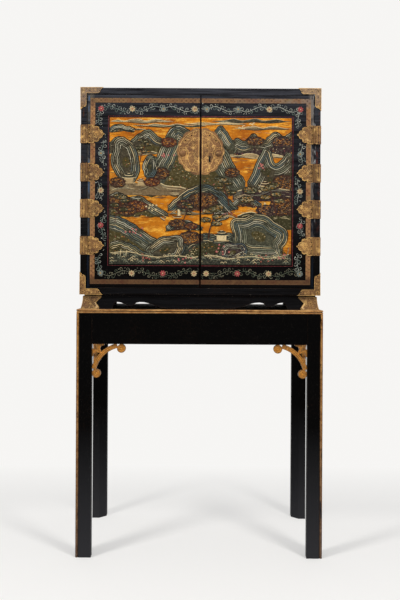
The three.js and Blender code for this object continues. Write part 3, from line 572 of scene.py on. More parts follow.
def brass_finish(name, base, pale, dark, scale, turns, engraved):
    """Engraved brass, blotched all over, dusty at the top of the case and dark at its foot."""
    material, tree, shader = start_material(name)
    surface = effect(tree, aged, Scale=2.2)
    cuts = effect(tree, engraving, Scale=scale, Turns=turns)
    wear = effect(tree, edge_wear, Reach=0.0012, Scale=260.0, Amount=0.42)["Mask"]
    here = object_place(tree)
    height = axes(here)[2]
    colour = tint(threshold(surface["Cloud"], 0.35, 0.68), base, pale)
    for *blotch, over in BLOTCHES:
        colour = tint(patches(here, *blotch), colour, over, BLOTCH_SHARE)
    colour = tint(cuts["Line"], colour, dark, engraved)
    colour = tint(surface["Speck"], colour, dark, 0.45)
    colour = tint(wear, colour, pale, 0.7)
    settled = threshold(height, *(case_top_high.z - drop for drop in DUST_DROP))
    colour = tint(settled, colour, ink(126, 120, 112), 0.3)
    # The brass below the case's bottom, on the foot mounts, is darker.
    lowest = threshold(height, *(case_bottom_low.z + rise for rise in DARK_FOOT_RISE))
    plug(tint(lowest, colour, ink(58, 38, 22), 0.3), shader.inputs["Base Color"])
    plug(threshold(surface["Cloud"], -0.9, 1.6), shader.inputs["Roughness"])
    shader.inputs["Metallic"].default_value = 0.5
    roughen(shader, cuts["Height"], 0.4, 0.0004)
    return material


brass = brass_finish("engraved_brass", BRASS, BRASS_PALE, BRASS_DARK, 135.0, 26.0, 0.6)
lock_brass = brass_finish("lock_brass", LOCK_TAN, LOCK_PALE, BRASS_DARK, 135.0, 26.0, 0.75)
plain_brass = brass_finish("plain_brass", CHASED, CHASED_PALE, BRASS_DARK, 60.0, 10.0, 0.15)
lock_chasing = brass_finish("lock_chasing", CHASED, CHASED_PALE, BRASS_DARK, 60.0, 10.0, 0.3)
nail_brass = brass_finish("nail_brass", BRASS_DARK, BRASS, BRASS_DARK, 60.0, 10.0, 0.15)
# Near-white brass for the curl on the foot mounts: a painted highlight.
painted_highlight_brass = brass_finish("painted_highlight_brass", CHASED_PALE, HIGHLIGHT_PALE, CHASED, 60.0, 10.0, 0.1)

iron, tree, shader = start_material("iron")
surface = effect(tree, aged, Scale=3.0)
rusty = threshold(surface["Cloud"], 0.48, 0.7)
plug(tint(rusty, ink(72, 68, 64), ink(96, 56, 36)), shader.inputs["Base Color"])
plug(threshold(surface["Cloud"], -0.6, 1.4), shader.inputs["Roughness"])
shader.inputs["Metallic"].default_value = 0.8
roughen(shader, surface["Speck"], 0.3, 0.0003)
print("metals:", brass.name, plain_brass.name, iron.name)

# %% [markdown]
# ## Dressing the model's own pieces
#
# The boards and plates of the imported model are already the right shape, only their edges are
# knife-sharp. Each gets a Weld, which joins its loose triangles, a small Bevel that catches the
# light, and its finish. Their meshes are left as they are.

# %% Soft edges and finishes for the model's pieces
FINISHES = [
    ("leg_", stand_lacquer, 1.0),
    ("rail_", stand_lacquer, 0.8),
    ("stand_top", top_gilt, 0.3),
    ("bracket_", bracket_gilt, 2.6),
    ("base_", black_lacquer, 0.8),
    ("case_", black_lacquer, 1.2),
    ("shelf_", shelf_lacquer, 0.8),
    ("door_stop_", red_lacquer, 0.6),
    ("door_", black_lacquer, 0.5),
    ("foot_mount_", brass, 0.35),
    ("corner_mount_", brass, 0.35),
    ("lock_plate_", lock_brass, 0.35),
    ("hinge_", brass, 0.35),
    ("lock_case", iron, 0.5),
    ("lock_bolt", iron, 0.5),
    ("left_door_bolt", iron, 0.4),
]
BEVEL_ANGLE = math.radians(33)


def soften(piece, width, steps):
    weld = piece.modifiers.new("weld", "WELD")
    weld.merge_threshold = 0.01 * MM
    bevel = piece.modifiers.new("soft_edges", "BEVEL")
    bevel.width = width
    bevel.segments = steps
    bevel.limit_method = "ANGLE"
    bevel.angle_limit = BEVEL_ANGLE
    bevel.use_clamp_overlap = True


for name, piece in sorted(nodes.items()):
    finish, width = next((made, size) for start, made, size in FINISHES if name.startswith(start))
    piece.data.materials.clear()
    piece.data.materials.append(finish)
    soften(piece, width * MM, 3)
print("dressed", len(nodes), "pieces of the model")

# %% [markdown]
# ## Tools for raised lacquer
#
# The doors of such a cabinet carry pictures built up in thin layers of coloured lacquer, with ridged
# lines drawn over them. Here a layer is a flat slab with any outline and a line is a low ridge. There
# are hundreds, so they are written as vertices and faces instead of being pulled up one at a time in
# edit mode. A constrained triangulation trims each layer at the door's edge and round the lock plate,
# and every layer is a closed body that stands on the door.

# %% Lines and outlines in the plane of the doors
rng = random.Random(1690)
FOLD_REACH = 14
FOLD_SHARE = 0.86


def polar(x, z, reach, angle):
    """The point at that reach and angle from (x, z)."""
    return x + reach * math.cos(angle), z + reach * math.sin(angle)


def closed(outline):
    return [*outline, outline[0]]


def smooth_line(points, steps=6):
    """A flowing line through the points, as a list of (x, z)."""
    count = len(points)
    line = []
    for i in range(count - 1):
        near = [points[max(0, min(count - 1, j))] for j in range(i - 1, i + 3)]
        for step in range(steps):
            t = step / steps
            weights = (
                -0.5 * t + t * t - 0.5 * t ** 3,
                1.0 - 2.5 * t * t + 1.5 * t ** 3,
                0.5 * t + 2.0 * t * t - 1.5 * t ** 3,
                -0.5 * t * t + 0.5 * t ** 3,
            )
            line.append(tuple(sum(w * p[k] for w, p in zip(weights, near)) for k in (0, 1)))
    return [*line, tuple(points[-1])]


def waver(x, z, size, seed=0.0):
    return noise.noise(Vector((x / size, z / size, seed)))


def right_of(points, i, ring=False):
    """The unit vector to the right of the line's way at point i."""
    count = len(points)
    before = points[(i - 1) % count] if ring else points[max(0, i - 1)]
    after = points[(i + 1) % count] if ring else points[min(count - 1, i + 1)]
    dx, dz = after[0] - before[0], after[1] - before[1]
    size = math.hypot(dx, dz) or 1.0
    return dz / size, -dx / size


def beside(points, distance, shake=0.0, seed=0.0, ring=False):
    """The line moved to its right; None marks the points that would fold over."""
    moved = []
    for i, (x, z) in enumerate(points):
        nx, nz = right_of(points, i, ring)
        far = distance + shake * waver(x, z, 26.0, seed)
        spot = (x + nx * far, z + nz * far)
        near = points if ring else points[max(0, i - FOLD_REACH):i + FOLD_REACH + 1]
        nearest = min(math.hypot(spot[0] - px, spot[1] - pz) for px, pz in near)
        moved.append(spot if nearest > far * FOLD_SHARE else None)
    return moved


def runs(points, keep):
    """The stretches of a line for which keep(point) holds."""
    found, current = [], []
    for point in points:
        if point is not None and keep(point):
            current.append(point)
        else:
            found.append(current)
            current = []
    found.append(current)
    return [run for run in found if len(run) > 1]


def strokes(points, low, high, gap):
    """Breaks a line into brush strokes of a random number of points."""
    start, made = 0, []
    while start < len(points) - 1:
        end = start + rng.randint(low, high)
        made.append(points[start:end])
        start = end + rng.randint(0, gap)
    return [stroke for stroke in made if len(stroke) > 2]


def turned(x, z, u, v, turn):
    """The point u along and v up from (x, z), in a frame turned by that angle."""
    return x + u * math.cos(turn) - v * math.sin(turn), z + u * math.sin(turn) + v * math.cos(turn)


def ring_outline(x, z, radius, sides):
    return [polar(x, z, radius, 2 * math.pi * i / sides) for i in range(sides)]


def coil(x, z, radius, turn, turns, way, shrink, steps):
    """A line that winds round (x, z) and comes nearer to it by the share shrink."""
    line = []
    for i in range(steps + 1):
        share = i / steps
        angle = turn + way * 2 * math.pi * turns * share
        line.append(polar(x, z, radius * (1.0 - shrink * share), angle))
    return line


def box_outline(x0, z0, x1, z1):
    return [(x0, z0), (x1, z0), (x1, z1), (x0, z1)]


def blob(x, z, rx, rz, turn=0.0, lobes=0, depth=0.0, shake=0.06, seed=0.0, sides=32):
    """A closed outline: an ellipse with lobes and a little unevenness."""
    outline = []
    for i in range(sides):
        angle = 2 * math.pi * i / sides
        uneven = waver(math.cos(angle) * 90, math.sin(angle) * 90, 60.0, seed)
        swell = 1.0 + depth * abs(math.sin(angle * lobes / 2)) + shake * uneven
        outline.append(turned(x, z, rx * swell * math.cos(angle), rz * swell * math.sin(angle), turn))
    return outline


def within(point, outline):
    x, z = point
    odd = False
    j = len(outline) - 1
    for i in range(len(outline)):
        xi, zi = outline[i]
        xj, zj = outline[j]
        if (zi > z) != (zj > z) and x < (xj - xi) * (z - zi) / (zj - zi) + xi:
            odd = not odd
        j = i
    return odd


def extent(outline):
    xs, zs = [p[0] for p in outline], [p[1] for p in outline]
    return min(xs), min(zs), max(xs), max(zs)


# %% Picture: layers and lines, kept in order from back to front
GROUND_RISE = 0.1


class Picture:
    """Layers and ridged lines in millimetres, each with its colour, from back to front."""

    def __init__(self):
        self.layers, self.lines, self.dots = [], [], []
        self.rise = GROUND_RISE

    def layer(self, outline, colour, step=0.012):
        self.rise += step
        self.layers.append((outline, colour, self.rise, extent(outline)))

    def line(self, points, width, colour, height=0.22, taper=True):
        self.lines.append((list(points), width, colour, height, taper, len(self.layers), self.rise))

    def dot(self, x, z, radius, colour, height=0.25):
        self.dots.append((x, z, radius, colour, height, len(self.layers), self.rise))

    def shows(self, point, order):
        for outline, _, _, (x0, z0, x1, z1) in self.layers[order:]:
            if x0 < point[0] < x1 and z0 < point[1] < z1 and within(point, outline):
                return False
        return True


# %% Building a picture's mesh on one door
SIDE_SHADE = 0.45


def add_piece(name, mesh):
    piece = bpy.data.objects.new(name, mesh)
    bpy.context.scene.collection.objects.link(piece)
    return piece


class Relief:
    """Vertices, faces and face colours of one raised piece on the face y, in millimetres."""

    def __init__(self, face_y, outward=-1.0):
        self.verts, self.faces, self.inks = [], [], []
        self.face_y, self.outward = face_y / MM, outward

    def corner(self, x, z, height):
        self.verts.append((x * MM, (self.face_y + self.outward * height) * MM, z * MM))
        return len(self.verts) - 1

    def face(self, corners, colour):
        self.faces.append(tuple(corners) if self.outward < 0 else tuple(reversed(corners)))
        self.inks.append(colour)

    def slab(self, outline, low, high, colour, keep=None, cuts=()):
        """A closed slab with that outline, trimmed to the points that keep() allows."""
        loops = [outline, *cuts]
        spots = [Vector(p) for loop in loops for p in loop]
        edges, start = [], 0
        for loop in loops:
            edges += [(start + i, start + (i + 1) % len(loop)) for i in range(len(loop))]
            start += len(loop)
        found = plane.delaunay_2d_cdt(spots, edges, [], 0, 1e-5)
        spots, triangles = found[0], found[2]
        kept, sides = [], {}
        for triangle in triangles:
            a, b, c = (spots[i] for i in triangle)
            centre = (a + b + c) / 3
            if not within(centre, outline) or (keep and not keep(centre)):
                continue
            triangle = tuple(triangle) if (b - a).cross(c - a) >= 0 else tuple(reversed(triangle))
            kept.append(triangle)
            for k in range(3):
                sides[(triangle[k], triangle[(k + 1) % 3])] = True
        used = sorted({i for t in kept for i in t})
        top = {i: self.corner(spots[i].x, spots[i].y, high) for i in used}
        foot = {i: self.corner(spots[i].x, spots[i].y, low) for i in sorted(top)}
        for a, b, c in kept:
            self.face((top[a], top[b], top[c]), colour)
            self.face((foot[c], foot[b], foot[a]), colour)
        dark = tuple(level * SIDE_SHADE for level in colour[:3]) + (colour[3],)
        for a, b in sides:
            if (b, a) not in sides:
                self.face((foot[a], foot[b], top[b], top[a]), dark)

    def ridge(self, points, width, low, high, colour, taper=True):
        """A line with a triangular section, closed at both ends."""
        count = len(points)
        rows = []
        for i, (x, z) in enumerate(points):
            nx, nz = right_of(points, i)
            to_end = min(i, count - 1 - i) / max(1, count - 1) * 2
            share = min(1.0, 0.35 + 1.3 * to_end) if taper else 1.0
            half = width / 2 * share
            rows.append((
                self.corner(x - nx * half, z - nz * half, low),
                self.corner(x, z, low + (high - low) * share),
                self.corner(x + nx * half, z + nz * half, low),
            ))
        for (left, crest, right), (left_b, crest_b, right_b) in zip(rows, rows[1:]):
            self.face((crest, crest_b, left_b, left), colour)
            self.face((right, right_b, crest_b, crest), colour)
            self.face((left, left_b, right_b, right), colour)
        self.face((rows[0][0], rows[0][2], rows[0][1]), colour)
        self.face((rows[-1][0], rows[-1][1], rows[-1][2]), colour)

    def bead(self, x, z, radius, low, high, colour, sides=6):
        foot = [self.corner(u, v, low) for u, v in ring_outline(x, z, radius, sides)]
        top = [self.corner(u, v, high) for u, v in ring_outline(x, z, radius * 0.55, sides)]
        for i in range(sides):
            j = (i + 1) % sides
            self.face((foot[i], foot[j], top[j], top[i]), colour)
        self.face(top, colour)
        self.face(tuple(reversed(foot)), colour)

    def make(self, name, material):
        mesh = bpy.data.meshes.new(name)
        mesh.from_pydata(self.verts, [], self.faces)
        colours = mesh.color_attributes.new("ink", "FLOAT_COLOR", "CORNER")
        flat = []
        for polygon, colour in zip(mesh.polygons, self.inks):
            flat.extend(list(colour) * polygon.loop_total)
        colours.data.foreach_set("color", flat)
        mesh.materials.append(material)
        print(name, "has", len(self.faces), "faces")
        return add_piece(name, mesh)


# %% [markdown]
# ## Picture paint
#
# Each layer's colour is stored on its faces. The material reads it, breaks it up the way old lacquer
# paint is broken, and adds fine pale and dark brush marks. Where the stored alpha is 1 the colour is
# gold ground, which varies from deep orange to a rubbed straw tone and is glossier.

# %% Picture paint
GOLD_DEEP = ink(140, 72, 14)
GOLD_STRAW = ink(222, 164, 62)
GOLD_RUBBED = ink(104, 58, 22)
PAINT_PALE = ink(206, 188, 150)
PAINT_DARK = ink(20, 15, 10)
PAINT_CRACK = ink(40, 24, 12)
PAINT_SPECK = ink(46, 28, 16)

picture_paint, tree, shader = start_material("picture_paint")
stored = put(tree, "Attribute", attribute_name="ink").outputs
own, goldness = stored["Color"], stored["Alpha"]
surface = effect(tree, aged, Scale=1.6)
here = object_place(tree)
gold_tone = tint(patches(here, 9.0, 0.35, 0.66, 5.0, 0.6), GOLD_DEEP, own)
streaked = patches(object_place(tree, (26.0, 26.0, 95.0)), 1.0, 0.5, 0.66, 6.0, 0.7)
gold_tone = tint(streaked, gold_tone, GOLD_STRAW)
gold_tone = tint(patches(here, 210.0, 0.53, 0.66, 5.0, 0.75), gold_tone, GOLD_RUBBED, 0.62)
fine = mottle(here, 120.0, 5.0, 0.7)
paint_tone = tint(threshold(fine, 0.52, 0.64), own, tint(0.1, own, PAINT_PALE))
paint_tone = tint(threshold(fine, 0.46, 0.36), paint_tone, tint(0.55, own, PAINT_DARK))
colour = tint(goldness, paint_tone, gold_tone)
colour = tint(surface["Crackle"], colour, PAINT_CRACK, 0.55)
plug(tint(surface["Speck"], colour, PAINT_SPECK, 0.35), shader.inputs["Base Color"])
rough = plus(reckon("MULTIPLY_ADD", fine, 0.2, 0.5), times(goldness, -0.12))
plug(rough, shader.inputs["Roughness"])
plug(times(goldness, 0.25), shader.inputs["Metallic"])
shader.inputs["Specular IOR Level"].default_value = 0.1
roughen(shader, fine, 0.18, 0.0004)
print("paint:", picture_paint.name)

# %% [markdown]
# ## The landscape
#
# The picture is a lake among hills, in the manner of such cabinets: gold ground, blue-green hills
# drawn with many pale contour lines, dark rocks and trees, small pavilions, boats and a bridge. It
# is designed here, not traced. The elements are small functions, each a few layers and lines, and
# the picture places them from the back to the front. Lines are only drawn where no later layer
# covers them.

# %% Colours of the landscape
def paint(red, green, blue):
    return (*ink(red, green, blue)[:3], 0.0)


GOLD = ink(198, 122, 22)
CREAM = paint(200, 180, 136)
CHALK = paint(180, 174, 150)
PALE_TEAL = paint(124, 126, 104)
TEAL = paint(60, 60, 46)
DEEP_TEAL = paint(42, 44, 36)
BLUE = paint(78, 96, 98)
STONE = paint(58, 52, 38)
OLIVE = paint(64, 56, 28)
MOSS = paint(48, 45, 24)
BARK = paint(54, 33, 23)
RUST = paint(74, 36, 24)
PLUM = paint(46, 31, 32)
SAND = paint(160, 136, 96)
DUN = paint(106, 88, 62)
ROSE = paint(168, 82, 84)
CRIMSON = paint(126, 34, 40)
COAL = paint(14, 13, 13)
SOFT_GOLD = paint(190, 124, 40)
PALE_LINES = [CREAM, PALE_TEAL, CHALK, PALE_TEAL, BLUE, CHALK]
DARK_LINES = [COAL, COAL, DEEP_TEAL]
WATER_MARKS = [RUST, BARK, SAND, DUN]
RIPPLE_MARKS = [CREAM, PALE_TEAL, TEAL, COAL, COAL]
REED_MARKS = [CREAM, PALE_TEAL, OLIVE, COAL]
LEAF_MARKS = [PALE_TEAL, CREAM, COAL, SOFT_GOLD, TEAL]
DARK_MARKS = [RUST, COAL, SOFT_GOLD, DUN, COAL]
MARKS = {MOSS: LEAF_MARKS, OLIVE: LEAF_MARKS, BARK: DARK_MARKS, PLUM: DARK_MARKS, RUST: DARK_MARKS}


# %% Hills, rocks and mist
def contour_lines(picture, top, pitch, count, seed, ring=False):
    """Pale and dark lines by turns, each following the skyline at its own distance."""
    for k in range(1, 2 * count + 1):
        moved = beside(top, k * pitch / 2, 0.3 * pitch, seed + k * 0.21, ring)
        for run in runs(closed(moved) if ring else moved, lambda point: True):
            for stroke in strokes(run, 6, 22, 1 if k % 2 else 0):
                colour = rng.choice(PALE_LINES if k % 2 else DARK_LINES)
                picture.line(stroke, 2.0 * rng.uniform(0.8, 1.25), colour)


def ragged(points, size, reach, seed):
    """The points shaken a little, each by up to the reach."""
    return [(x + reach * waver(x, z, size, seed), z + reach * waver(z, x, size, seed + 5))
            for x, z in points]


def hill(picture, profile, foot, fill, core, pitch=6.4, count=8, seed=0.0):
    """A hill from its skyline down to a wavy foot, with contour lines and a darker core."""
    top = ragged(smooth_line(profile), 14.0, 3.4, seed)
    (x0, _), (x1, _) = top[0], top[-1]
    steps = max(3, int(abs(x1 - x0) / 16))
    foot_line = [(x1 + (x0 - x1) * i / steps, foot) for i in range(steps + 1)]
    foot_line = smooth_line(ragged(foot_line, 21.0, 9.0, seed + 2), 4)
    outline = [*top, *foot_line[1:-1]]
    picture.layer(outline[::-1], fill, 0.03)
    picture.line(top, 3.0, COAL, taper=False)
    picture.line(foot_line, 2.4, COAL, taper=False)
    contour_lines(picture, top, pitch, count, seed)
    heart = [p for p in beside(top, (count + 0.7) * pitch, pitch, seed) if p and p[1] > foot]
    if len(heart) > 4:
        core_outline = [*heart, *foot_line[2:-2]]
        picture.layer(core_outline[::-1], core)
        tufts(picture, core_outline)


def tufts(picture, outline):
    """Rows of small grass marks and dots over a flat part."""
    x0, z0, x1, z1 = extent(outline)
    for _ in range(int((x1 - x0) * (z1 - z0) / 105)):
        x, z = rng.uniform(x0, x1), rng.uniform(z0, z1)
        if not within((x, z), outline):
            continue
        if rng.random() < 0.72:
            colour = rng.choice([CREAM, PALE_TEAL, COAL, SOFT_GOLD, TEAL, COAL, MOSS])
            picture.line([(x - 3.2, z - 1.4), (x, z + 1.6), (x + 3.2, z - 1.2)], 1.5, colour, 0.16)
        else:
            picture.dot(x, z, 1.5, rng.choice([CREAM, ROSE, PALE_TEAL, SOFT_GOLD]), 0.2)


def scholar_rock(picture, x, z, rx, rz, turn, fill, core, seed, pitch=6.0, lobes=5):
    """A rock drawn with rings that follow its outline, as water-worn rocks are."""
    outline = blob(x, z, rx, rz, turn, lobes, 0.1, 0.22, seed, 64)[::-1]
    picture.layer(outline, fill, 0.04)
    picture.line(closed(outline), 3.0, COAL, taper=False)
    rings = int(min(rx, rz) * 0.72 / pitch)
    contour_lines(picture, outline, pitch, rings, seed, True)
    heart = blob(x, z, rx * 0.26, rz * 0.22, turn, 3, 0.1, 0.1, seed, 20)
    picture.layer(heart, core)
    tufts(picture, heart)


def mist(picture, x0, x1, z, thick, fill, seed):
    """A long band of mist with a lobed upper edge."""
    count = max(4, int((x1 - x0) / 26))
    upper, lower = [], []
    for i in range(count + 1):
        x = x0 + (x1 - x0) * i / count
        share = math.sin(math.pi * i / count) ** 0.5
        upper.append((x, z + thick * share * (0.5 + 0.35 * math.sin(i * 2.1 + seed))))
        lower.append((x, z - thick * share * 0.45 * (1 + 0.4 * math.cos(i * 1.3 + seed))))
    top, under = smooth_line(upper, 5), smooth_line(lower, 5)
    picture.layer([*under, *top[::-1]], fill, 0.02)
    picture.line(top, 2.0, rng.choice([CREAM, PALE_TEAL]))
    picture.line(under, 2.0, COAL)
    rows = max(2, int(thick / 3.4))
    for row in range(1, rows):
        share = row / rows
        middle = [(a[0], a[1] * share + b[1] * (1 - share)) for a, b in zip(top, under)]
        for stroke in strokes(middle, 5, 18, 3):
            picture.line(stroke, 1.6, rng.choice([PALE_TEAL, CREAM, COAL, TEAL, COAL]))


def water_lines(picture, x0, z0, x1, z1, count):
    """Long thin ripples over open gold."""
    for _ in range(count):
        x, z = rng.uniform(x0, x1), rng.uniform(z0, z1)
        half = rng.uniform(7, 24)
        bends = [(x - half, z), (x - half / 3, z + 1.3), (x + half / 3, z - 1.1), (x + half, z + 0.4)]
        picture.line(smooth_line(bends, 3), 1.4, rng.choice(WATER_MARKS), 0.14)


# %% Trees and plants
def foliage(picture, x, z, rx, rz, fill, seed):
    """A clump of leaves: a lobed layer with rows of small scallops."""
    outline = blob(x, z, rx, rz, 0.0, 9, 0.16, 0.12, seed, 40)
    picture.layer(outline, fill, 0.02)
    picture.line(closed(outline), 2.0, COAL)
    rows = max(1, int(rz / 3.6))
    for row in range(-rows + 1, rows):
        level = row / rows
        half = rx * math.sqrt(max(0.0, 1 - level * level)) * 0.86
        steps = max(1, int(half / 3.4))
        for i in range(-steps, steps + 1):
            u = x + i * half / max(1, steps) + rng.uniform(-1.2, 1.2)
            v = z + level * rz * 0.9 + rng.uniform(-1.0, 1.0)
            arc = [(u - 2.6, v - 0.9), (u - 1.2, v + 1.0), (u + 1.2, v + 1.0), (u + 2.6, v - 0.9)]
            picture.line(arc, 1.4, rng.choice(MARKS[fill]), 0.16)


def leaning_tree(picture, x, z, height, lean, fill, seed, clumps=4):
    """A leaning trunk with side branches, each ending in a clump."""
    bends = ((0.0, 0.0), (0.2, 0.32), (0.75, 0.62), (1.0, 1.0))
    trunk = smooth_line([(x + lean * u, z + height * v) for u, v in bends], 7)
    left = [p or trunk[0] for p in beside(trunk, -height * 0.018)]
    right = [p or trunk[0] for p in beside(trunk, height * 0.026)]
    picture.layer([*right, *left[::-1]][::-1], BARK, 0.02)
    picture.line(trunk, 2.0, RUST)
    for i in range(clumps):
        share = 0.5 + 0.5 * i / max(1, clumps - 1)
        root = trunk[min(len(trunk) - 1, int(share * (len(trunk) - 1)))]
        side = -1 if i % 2 else 1
        reach = height * (0.26 - 0.12 * share) * (1.25 if i % 2 else 1.0)
        tip = (root[0] + side * reach, root[1] + height * 0.07)
        middle = ((root[0] + tip[0]) / 2, root[1] + height * 0.015)
        picture.line(smooth_line([root, middle, tip], 5), 2.6, BARK)
        foliage(picture, tip[0], tip[1] + 2, height * 0.17, height * 0.075, fill, seed + i)
    crown = trunk[-1]
    foliage(picture, crown[0], crown[1] + 2, height * 0.19, height * 0.09, fill, seed + 9)


def reeds(picture, x0, x1, z, height):
    """Blades that fan out of a bank."""
    count = int((x1 - x0) / 5)
    for i in range(count):
        x = x0 + (x1 - x0) * (i + rng.random()) / count
        lean = rng.uniform(-0.5, 0.5) * height
        tall = height * rng.uniform(0.6, 1.0)
        blade = smooth_line([(x, z), (x + lean * 0.3, z + tall * 0.6), (x + lean, z + tall)], 4)
        picture.line(blade, 2.0, rng.choice(REED_MARKS))


def blossoms(picture, x, z, spread, count, colour):
    """Small flowers of five petals, strewn round a point."""
    for _ in range(count):
        u, v = x + rng.gauss(0, spread), z + rng.gauss(0, spread * 0.45)
        for k in range(5):
            picture.dot(*polar(u, v, 2.1, 2 * math.pi * k / 5 + rng.random()), 1.7, colour)
        picture.dot(u, v, 1.2, CREAM, 0.35)


# %% Pavilions, bridge, boats, birds and water
ROOF = ((-1.0, 3.0), (-0.7, 0.0), (0.0, -1.0), (0.7, 0.0), (1.0, 3.0))


def pavilion(picture, x, z, width, roof_ink, wall_ink):
    """A small open house on posts, with an upswept roof."""
    half, tall = width / 2, width * 0.42
    picture.layer(box_outline(x - half * 1.2, z - 3, x + half * 1.2, z + 1), SAND, 0.02)
    picture.layer(box_outline(x - half * 0.8, z, x + half * 0.8, z + tall), wall_ink)
    for i in range(5):
        post = x - half * 0.8 + half * 0.4 * i
        picture.line([(post, z + 1), (post, z + tall)], 2.0, CRIMSON, taper=False)
    for level, share in ((0.0, 1.0), (0.5, 0.6)):
        eave, top = z + tall + width * level * 0.42, z + tall + width * (0.2 + level * 0.4)
        reach = half * 1.28 * share
        roof = smooth_line([(x + reach * u, eave + v) for u, v in ROOF], 4)
        ridge = smooth_line([(x + reach * 0.34, top), (x, top - 1), (x - reach * 0.34, top)], 3)
        picture.layer([*roof, *ridge], roof_ink, 0.02)
        picture.line(roof, 2.2, CREAM)
        picture.line(ridge, 2.2, CREAM)
        for i in range(-3, 4):
            tile_row = [(x + i * reach * 0.25, eave + 1), (x + i * reach * 0.11, top - 1)]
            picture.line(tile_row, 1.3, COAL, 0.16)


def bridge(picture, x0, x1, z, rise):
    """An arched bridge with a railing."""
    middle = (x0 + x1) / 2
    deck = smooth_line([(x0, z), ((x0 + middle) / 2, z + rise * 0.72), (middle, z + rise),
                        ((x1 + middle) / 2, z + rise * 0.72), (x1, z)], 6)
    under = [(x, v - 6 - 3 * abs(x - middle) / (x1 - x0)) for x, v in deck]
    picture.layer([*under, *deck[::-1]], SAND, 0.03)
    picture.line(deck, 2.0, COAL, taper=False)
    rail = [(x, v + 7) for x, v in deck]
    picture.line(rail, 1.8, CRIMSON, taper=False)
    for x, v in deck[::3]:
        picture.line([(x, v), (x, v + 7)], 1.6, CRIMSON, taper=False)
    for x, v in deck[1::2]:
        picture.line([(x, v - 1), (x + 0.5, v - 5)], 1.3, BARK, 0.16)


def boat(picture, x, z, width, mast):
    """A small boat with one battened sail."""
    sides = [(x - width / 2, z + 4), (x - width / 3, z), (x + width / 3, z), (x + width / 2, z + 5)]
    hull = smooth_line(sides, 4)
    picture.layer([*hull, (x, z + 3.5)], BARK, 0.02)
    picture.line(hull, 1.6, CREAM)
    picture.line([(x, z + 2), (x, z + mast)], 1.6, BARK, taper=False)
    outer = [(x + width * 0.34, z + 7), (x + width * 0.3, z + mast * 0.9)]
    picture.layer([(x + 1, z + 5), *outer, (x + 1, z + mast)], CREAM)
    for share in (0.3, 0.55, 0.8):
        level = z + 5 + (mast - 6) * share
        picture.line([(x + 1, level), (x + width * 0.32, level + 1)], 1.2, RUST, 0.16)


def crane(picture, x, z, span, turn):
    """A flying bird: two bowed wings, a neck and body, trailing legs and a red crown."""
    def bent(points):
        return [turned(x, z, span * u, span * v, turn) for u, v in points]

    for points, width in (
        (((-0.5, 0.16), (-0.22, 0.26), (0.0, 0.02)), 3.0),
        (((0.0, 0.02), (0.2, 0.3), (0.5, 0.3)), 3.0),
        (((-0.02, 0.04), (0.2, -0.02), (0.42, -0.1)), 2.2),
    ):
        picture.line(smooth_line(bent(points), 4), width, CREAM, 0.3)
    picture.line(bent(((0.0, 0.02), (-0.2, -0.12), (-0.42, -0.18))), 1.3, COAL, 0.2)
    picture.dot(*bent(((0.43, -0.1),))[0], 1.3, CRIMSON, 0.35)


def ripples(picture, x0, z0, x1, z1, pitch):
    """Rows of small overlapping waves."""
    row = 0
    z = z1
    while z > z0:
        x = x0 - (pitch / 2 if row % 2 else 0)
        while x < x1:
            if rng.random() < 0.86:
                crest = rng.uniform(0.34, 0.5) * pitch
                top = [(x + pitch * 0.26, z + crest), (x + pitch * 0.74, z + crest)]
                arc = [(x, z), *top, (x + pitch, z)]
                picture.line(smooth_line(arc, 3), 1.8, rng.choice(RIPPLE_MARKS))
            x += pitch
        z -= pitch * 0.42
        row += 1


def bank(picture, profile, base, fill, edge, seed, lines=2):
    """A low shore with a pale rim."""
    top = [(x, z + 1.6 * waver(x, z, 9.0, seed)) for x, z in smooth_line(profile)]
    picture.layer([*top, (top[-1][0], base), (top[0][0], base)][::-1], fill, 0.025)
    picture.line(top, 2.8, edge, taper=False)
    for k in range(1, lines + 1):
        for run in runs(beside(top, 4.6 * k, 1.6, seed + k), lambda point: point[1] > base):
            for stroke in strokes(run, 5, 12, 3):
                picture.line(stroke, 1.7, rng.choice([CREAM, PALE_TEAL, COAL]))


